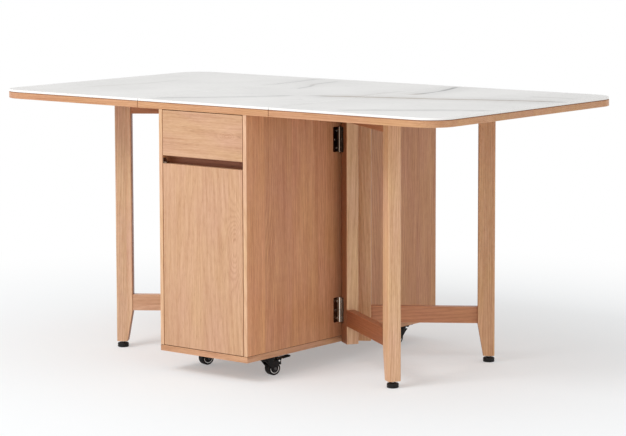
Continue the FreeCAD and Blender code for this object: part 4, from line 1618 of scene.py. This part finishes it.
@dataclass
class Castors:
    """The four plate castors: plate and bolts, fork, wheel and, in front, a brake pedal."""

    trail: float = 0.0145
    wheel_radius: float = 0.019
    half_width: float = 0.012
    hub_radius: float = 0.0144
    ring_radius: float = 0.0120
    ring_width: float = 0.0017
    cheek: float = 0.0025
    cheek_face: float = 0.013
    nose: float = 0.017
    crown_level: float = 0.0405
    crown: float = 0.003
    race_radius: float = 0.0185
    race_height: float = 0.011
    race_step: float = 0.0012
    plate_side: float = 0.060
    plate: float = 0.0025
    plate_corner: float = 0.006
    bolt_across: float = 0.045
    bolt_along: float = 0.016
    bolt_head: float = 0.005
    bolt_recess: float = 0.0012
    axle_radius: float = 0.003
    axle_head: float = 0.0045
    axle_end: float = 0.0015
    axle_margin: float = 0.006
    rivet_radius: float = 0.0026
    rivet_height: float = 0.0012
    pedal_pivot: tuple[float, float] = (-0.0275, 0.040)
    pedal_boss: float = 0.0035
    pedal_half: float = 0.010
    pedal_reach: float = 0.042
    pedal_rise: float = 0.006
    pedal_thickness: float = 0.003
    pedal_corner: float = 0.005
    pedal_arris: float = 0.0005
    ribs: int = 6
    rib_start: float = 0.004
    rib_spacing: float = 0.0028
    rib_size: Place = (0.003, 0.0012, 0.0006)
    shoe_radius: float = 0.0202
    shoe_slope: float = math.radians(26)
    shoe: float = 0.004
    shoe_round: float = 0.0008
    arris: float = 0.0004

    def build(self) -> None:
        """Models each part once and fits it to the castors that have it."""
        names = [joint["name"].removesuffix("_swivel").removeprefix("castor_")
                 for joint in frame["joints"] if joint["name"].endswith("_swivel")]
        braked = [name for name in names if f"brake_pedal_{name}" in frame["nodes"]]
        self.fit(self.top_plate(), names, "castor_plate", "castor_plates", "cabinet")
        for pattern, fitted, label in ((self.fork(), names, "castor_fork"),
                                       (self.wheel(), names, "castor_wheel"),
                                       (self.pedal(), braked, "brake_pedal")):
            self.fit(pattern, fitted, label, label + "_{}", label + "_{}")

    def fit(self, pattern: Workpiece, names: Sequence[str], label: str, node: str,
            body: str) -> None:
        """Copies a part to each castor that has it.

        Args:
            pattern: the part, modelled about the kingpin, trailing towards -Y.
            names: the castors it goes to.
            label: the start of each copy's name.
            node: the node that it replaces, with {} for the castor's name.
            body: the body that it moves with, written in the same way.
        """
        slot = "tyre_rubber" if label.endswith("wheel") else "castor_metal"
        for name in names:
            kingpin, axle = (Vector(joint_named(f"castor_{name}_{kind}")["pos_m"])
                             for kind in ("swivel", "roll"))
            trail = axle - kingpin
            turn = 0.0 if body == "cabinet" else math.atan2(trail.y, trail.x) + math.pi / 2
            copy = pattern.copied(f"{name}_{label}", at(kingpin.x, kingpin.y, 0) @ spin(turn, "Z"))
            copy.finish(body.format(name), slot, node.format(name))
        pattern.scrap()

    def across(self, piece: Workpiece, y: float, z: float) -> Workpiece:
        """Lays a turned piece across the castor, at a place along and above it."""
        return piece.turn(at(0, y, z) @ spin(math.pi / 2, "Y"))

    def top_plate(self) -> Workpiece:
        """The plate with its race and its four bolts.

        Returns:
            The plate, about the kingpin.
        """
        foot = self.crown_level + self.crown + self.race_height
        half, head, step = self.plate_side / 2, self.bolt_head, self.race_step
        plate = Workpiece.block("castor_plate", (-half, -half, foot),
                                (half, half, foot + self.plate), BLACK_STEEL)
        plate.ease(upright, self.plate_corner, segments=6).ease(lying, self.arris)
        race_low, radius = foot - self.race_height / 2, self.race_radius
        parts = [Workpiece.turned("castor_race", [
            (radius - step, race_low), (radius, race_low + step), (radius, race_low + 2 * step),
            (radius - step, foot - step), (radius + step, foot)], BLACK_STEEL)]
        for along in (-self.bolt_along / 2, self.bolt_along / 2):
            for across in (-self.bolt_across / 2, self.bolt_across / 2):
                bolt = Workpiece.turned("castor_bolt", [
                    (head * 0.62, foot - head), (head * 0.92, foot - head * 0.75),
                    (head, foot - head * 0.35), (head, foot)], BLACK_STEEL, sides=24)
                bolt.pick("FACE", lambda spot, normal: normal.z < -MOSTLY)
                bolt.inset(head * 0.3, -self.bolt_recess)
                parts.append(bolt.turn(at(across, along, 0)))
        return plate.with_parts(parts)

    def fork(self) -> Workpiece:
        """The fork: a lower race, a crown, two cheeks, the axle and the brake's pin.

        Returns:
            The fork, trailing towards -Y.
        """
        back, pivot = self.pedal_pivot
        reach = self.pedal_boss - back
        outer = self.cheek_face + self.cheek
        top = self.crown_level + self.crown
        low = self.wheel_radius - self.axle_margin
        crown = Workpiece.block("castor_fork",
                                (-outer, -self.trail - self.axle_margin, self.crown_level),
                                (outer, self.nose, top), BLACK_STEEL, BRIGHT)
        crown.ease(everything, self.arris)
        parts = [Workpiece.turned("castor_lower_race", [
            (self.race_radius, self.crown_level), (self.race_radius, top + self.cheek / 2),
            (self.race_radius - self.arris, top + self.race_height / 2 - self.arris)],
            BLACK_STEEL)]
        slopes = (((-self.trail + self.axle_margin, low), (self.nose, self.crown_level), 1),
                  ((-self.trail - self.axle_margin, low), (-reach, pivot - self.pedal_boss), -1))
        for near_x, far_x in ((-outer, -self.cheek_face), (self.cheek_face, outer)):
            cheek = Workpiece.block("castor_cheek", (near_x, -reach, low),
                                    (far_x, self.nose, top), BLACK_STEEL)
            for toe, heel, sign in slopes:
                run = Vector(heel) - Vector(toe)
                cheek.cut((0, *toe), Vector((0, run.y, -run.x)) * sign, trim=True)
            cheek.ease(running("x"), self.axle_margin / 2, segments=4)
            parts.append(cheek.ease(athwart("x"), self.arris))
        return crown.with_parts([*parts, self.axle(), self.rivet(outer, back, pivot)])

    def rivet(self, face: float, y: float, z: float) -> Workpiece:
        """A bright pin right through, with a domed head on each side.

        Args:
            face: how far from the middle its heads start.
            y: its place along the castor.
            z: its height.

        Returns:
            The pin.
        """
        radius, height = self.rivet_radius, self.rivet_height
        pin = Workpiece.turned("castor_pin", doubled([
            (radius * 0.3, -face - height), (radius * 0.75, -face - height * 0.75),
            (radius, -face - height * 0.2), (radius, -face)]), BRIGHT, sides=24)
        return self.across(pin, y, z)

    def axle(self) -> Workpiece:
        """The axle through both cheeks, with a domed head and a locknut.

        Returns:
            The axle, in its place.
        """
        outer = self.cheek_face + self.cheek
        radius, head, end = self.axle_radius, self.axle_head, self.axle_end
        rod = Workpiece.turned("castor_axle", [
            (radius * 0.4, -outer - end), (head * 0.75, -outer - end * 0.8),
            (head, -outer - end * 0.3), (head, -outer), (radius, -outer), (radius, outer),
            (radius, outer + end * 0.8), (radius * 0.8, outer + end)], ZINC, sides=32)
        nut = Workpiece.turned("castor_nut", [
            (head * 0.94, outer), (head, outer + end * 0.2), (head, outer + end * 0.7),
            (head * 0.85, outer + end * 0.95)], ZINC, sides=6)
        return self.across(rod.with_parts([nut]), -self.trail, self.wheel_radius)

    def wheel(self) -> Workpiece:
        """The wheel: a moulded hub, a bright ring and a rubber tyre with a fine groove.

        Returns:
            The wheel, in its place.
        """
        radius, half, step = self.wheel_radius, self.half_width, self.arris
        ring, width = self.ring_radius, self.ring_width
        side = [(0.0046, -half + 3 * step), (0.0056, -half + 2 * step),
                (0.0062, -half + 5 * step), (ring - step / 2, -half + 5 * step),
                (ring, -half + 2 * step), (ring + width, -half + 2 * step),
                (ring + width + step / 2, -half + 5 * step),
                (self.hub_radius, -half + 4 * step), (self.hub_radius + step, -half),
                (radius - 0.003, -half), (radius - 0.0009, -half + 0.0009),
                (radius, -half + 0.003), (radius, -2 * step), (radius - step, -step)]
        wheel = Workpiece.turned("castor_wheel", doubled(side), TYRE, HUB, BRIGHT, sides=64)
        wheel.stain(1, lambda spot, normal: math.hypot(spot.x, spot.y) < self.hub_radius)
        wheel.stain(2, lambda spot, normal: (near(abs(spot.z), half - 2 * step)
                                             and abs(normal.z) > MOSTLY))
        return self.across(wheel, -self.trail, radius)

    def pedal(self) -> Workpiece:
        """The brake pedal: a ribbed tread on a boss, with the shoe that meets the wheel.

        Returns:
            The pedal, in its place.
        """
        back, pivot = self.pedal_pivot
        half, radius = self.pedal_half, self.pedal_boss
        length = math.hypot(self.pedal_reach, self.pedal_rise)
        tread = Workpiece.block("brake_pedal", (-half, -length, -self.pedal_thickness),
                                (half, 0, 0), HUB)
        tread.ease(lambda spot, way: abs(way.z) > MOSTLY and near(spot.y, -length),
                   self.pedal_corner, segments=5)
        tread.ease(everything, self.pedal_arris)
        margin, rib, height = self.rib_size
        feet = [self.rib_start - length + number * self.rib_spacing
                 for number in range(self.ribs)]
        tread.with_parts([Workpiece.block("brake_rib", (margin - half, foot, 0),
                                          (half - margin, foot + rib, height), HUB)
                          for foot in feet])
        tread.turn(at(0, back, pivot + radius) @ spin(
            -math.atan2(self.pedal_rise, self.pedal_reach), "X"))
        boss = Workpiece.turned("brake_boss", doubled([
            (radius - self.arris, -half), (radius, -half + self.arris)]), HUB, sides=32)
        foot = self.wheel_radius + self.shoe_radius * math.sin(self.shoe_slope)
        inner = -self.trail - self.shoe_radius * math.cos(self.shoe_slope)
        shoe = Workpiece.block("brake_shoe", (-half, inner - self.shoe, foot),
                               (half, inner, pivot + radius), HUB, BRIGHT)
        shoe.ease(running("x"), self.shoe_round)
        rivet = self.rivet(half, inner - 2 * self.shoe, pivot + radius / 2)
        return tread.with_parts([self.across(boss, back, pivot), shoe, rivet])


# ---------------------------------------------------------------- studio


@dataclass(frozen=True)
class Viewpoint:
    """Where the camera stands and how it looks, recovered from the table's straight edges."""

    place: Place = (4.30649, -5.34511, 1.31942)
    yaw: float = math.radians(38.606)
    pitch: float = math.radians(6.102)
    roll: float = math.radians(-0.155)
    focal_pixels: float = 2435.91
    centre_row: float = 149.98
    image_width: int = 626
    image_height: int = 436
    sensor: float = 36.0
    reach: float = 100.0

    def set_up(self) -> None:
        """Makes the camera and gives it to the scene."""
        data = bpy.data.cameras.new("camera")
        data.sensor_width = self.sensor
        data.lens = self.focal_pixels / self.image_width * self.sensor
        data.shift_y = (self.centre_row - self.image_height / 2) / self.image_width
        data.clip_end = self.reach
        camera = bpy.data.objects.new("camera", data)
        camera.matrix_world = (at(*self.place) @ spin(self.yaw, "Z")
                               @ spin(math.pi / 2 - self.pitch, "X") @ spin(self.roll, "Z"))
        bpy.context.scene.collection.objects.link(camera)
        bpy.context.scene.camera = camera


@dataclass(frozen=True)
class Floor(Finish):
    """A pale floor that fades into the white background away from the table."""

    name: str = "pale_floor"
    colour: Colour = srgb(246, 246, 245)
    grain_colour: Colour = (0.8, 0.8, 0.79)
    grain: float = 0.02
    grain_scale: float = 3.0
    grain_range: Range = (0.2, 0.8)
    near_white: float = 0.33
    near_level: float = 0.98
    cool: Colour = (0.965, 1.0, 1.03)
    fade_start: float = 0.7
    fade_end: float = 2.2

    def paint(self, board: NodeBoard) -> None:
        """Paints the floor, softly white to the camera and plain white far away: near the table
        the camera sees a share of white glow, painted light that lifts the cast shadows.

        Args:
            board: the material's tree, cleared.
        """
        place = board.here()
        distance = board.take("VectorMath", {0: place}, "Value", operation="LENGTH")
        grain = board.fade(board.noise(place, self.grain_scale), *self.grain_range, 0.0,
                           self.grain)
        seen = board.seen()
        colour = board.mix(grain, self.colour, self.grain_colour)
        cooled = board.mix(1.0, colour, self.cool, "MULTIPLY")
        shader = board.take("BsdfDiffuse", {"Color": board.mix(seen, colour, cooled)})
        glow, far = (board.fade(distance, self.fade_start, self.fade_end, start, 1.0)
                     for start in (self.near_level, self.near_white))
        white = board.take("Emission", {"Color": WHITE, "Strength": glow})
        mixed = board.take("MixShader", {0: far * seen, 1: shader, 2: white})
        board.node("OutputMaterial", {"Surface": mixed})


@dataclass(frozen=True)
class Lamp:
    """A soft square lamp that looks at the table."""

    name: str
    place: Place
    watts: float
    side: float
    target: Place = (0.0, 0.0, 0.4)

    def set_up(self) -> None:
        """Hangs the lamp."""
        data = bpy.data.lights.new(self.name, "AREA")
        data.energy = self.watts
        data.size = self.side
        lamp = bpy.data.objects.new(self.name, data)
        lamp.location = self.place
        lamp.rotation_euler = (Vector(self.target) - Vector(self.place)).to_track_quat(
            "-Z", "Y").to_euler()
        bpy.context.scene.collection.objects.link(lamp)


@dataclass(frozen=True)
class Studio:
    """The floor, the lamp, the even light of the room and the camera."""

    floor_side: float = 60.0
    room_strength: float = 0.76
    lamp: Lamp = Lamp("key", (-0.69, -3.9, 4.36), watts=125.0, side=2.2)

    def build(self) -> None:
        """Sets up everything around the table."""
        activate()
        bpy.ops.mesh.primitive_plane_add(size=self.floor_side)
        floor = Workpiece("studio_floor", Floor())
        self.lamp.set_up()
        self.room()
        Viewpoint().set_up()
        bpy.context.scene.view_settings.view_transform = "Standard"

    def room(self) -> None:
        """White to the camera and to mirrors, and an even dimmer light on the table."""
        world = bpy.data.worlds.new("studio")
        world.use_nodes = True
        bpy.context.scene.world = world
        board = NodeBoard(world.node_tree)
        strength = board.fade(board.seen(), 0.0, 1.0, self.room_strength, 1.0)
        light = board.take("Background", {"Color": WHITE, "Strength": strength})
        board.node("OutputWorld", {"Surface": light})


# ---------------------------------------------------------------- assembly


def main() -> None:
    """Builds the studio and every sub-assembly, and logs each piece."""
    Studio().build()
    Cabinet().build()
    TableTop().build()
    # The near gate's darker stretcher is a painted shadow of the cabinet.
    gates = [Gate("front_right", seed=40.0, tones=two_tone((236, 197, 157), (190, 138, 98)),
                  stretcher_tones=two_tone((170, 106, 70), (130, 72, 42))),
             Gate("rear_right", seed=50.0, tones=two_tone((226, 183, 142), (181, 125, 85))),
             Gate("front_left", seed=60.0, tones=two_tone((236, 200, 167), (190, 142, 108)),
                  stretcher_tones=two_tone((230, 188, 154), (188, 136, 102))),
             Gate("rear_left", seed=70.0)]
    for gate in gates:
        gate.build()
    GateHinges().build(gates)
    Castors().build()


if __name__ == "__main__":
    main()
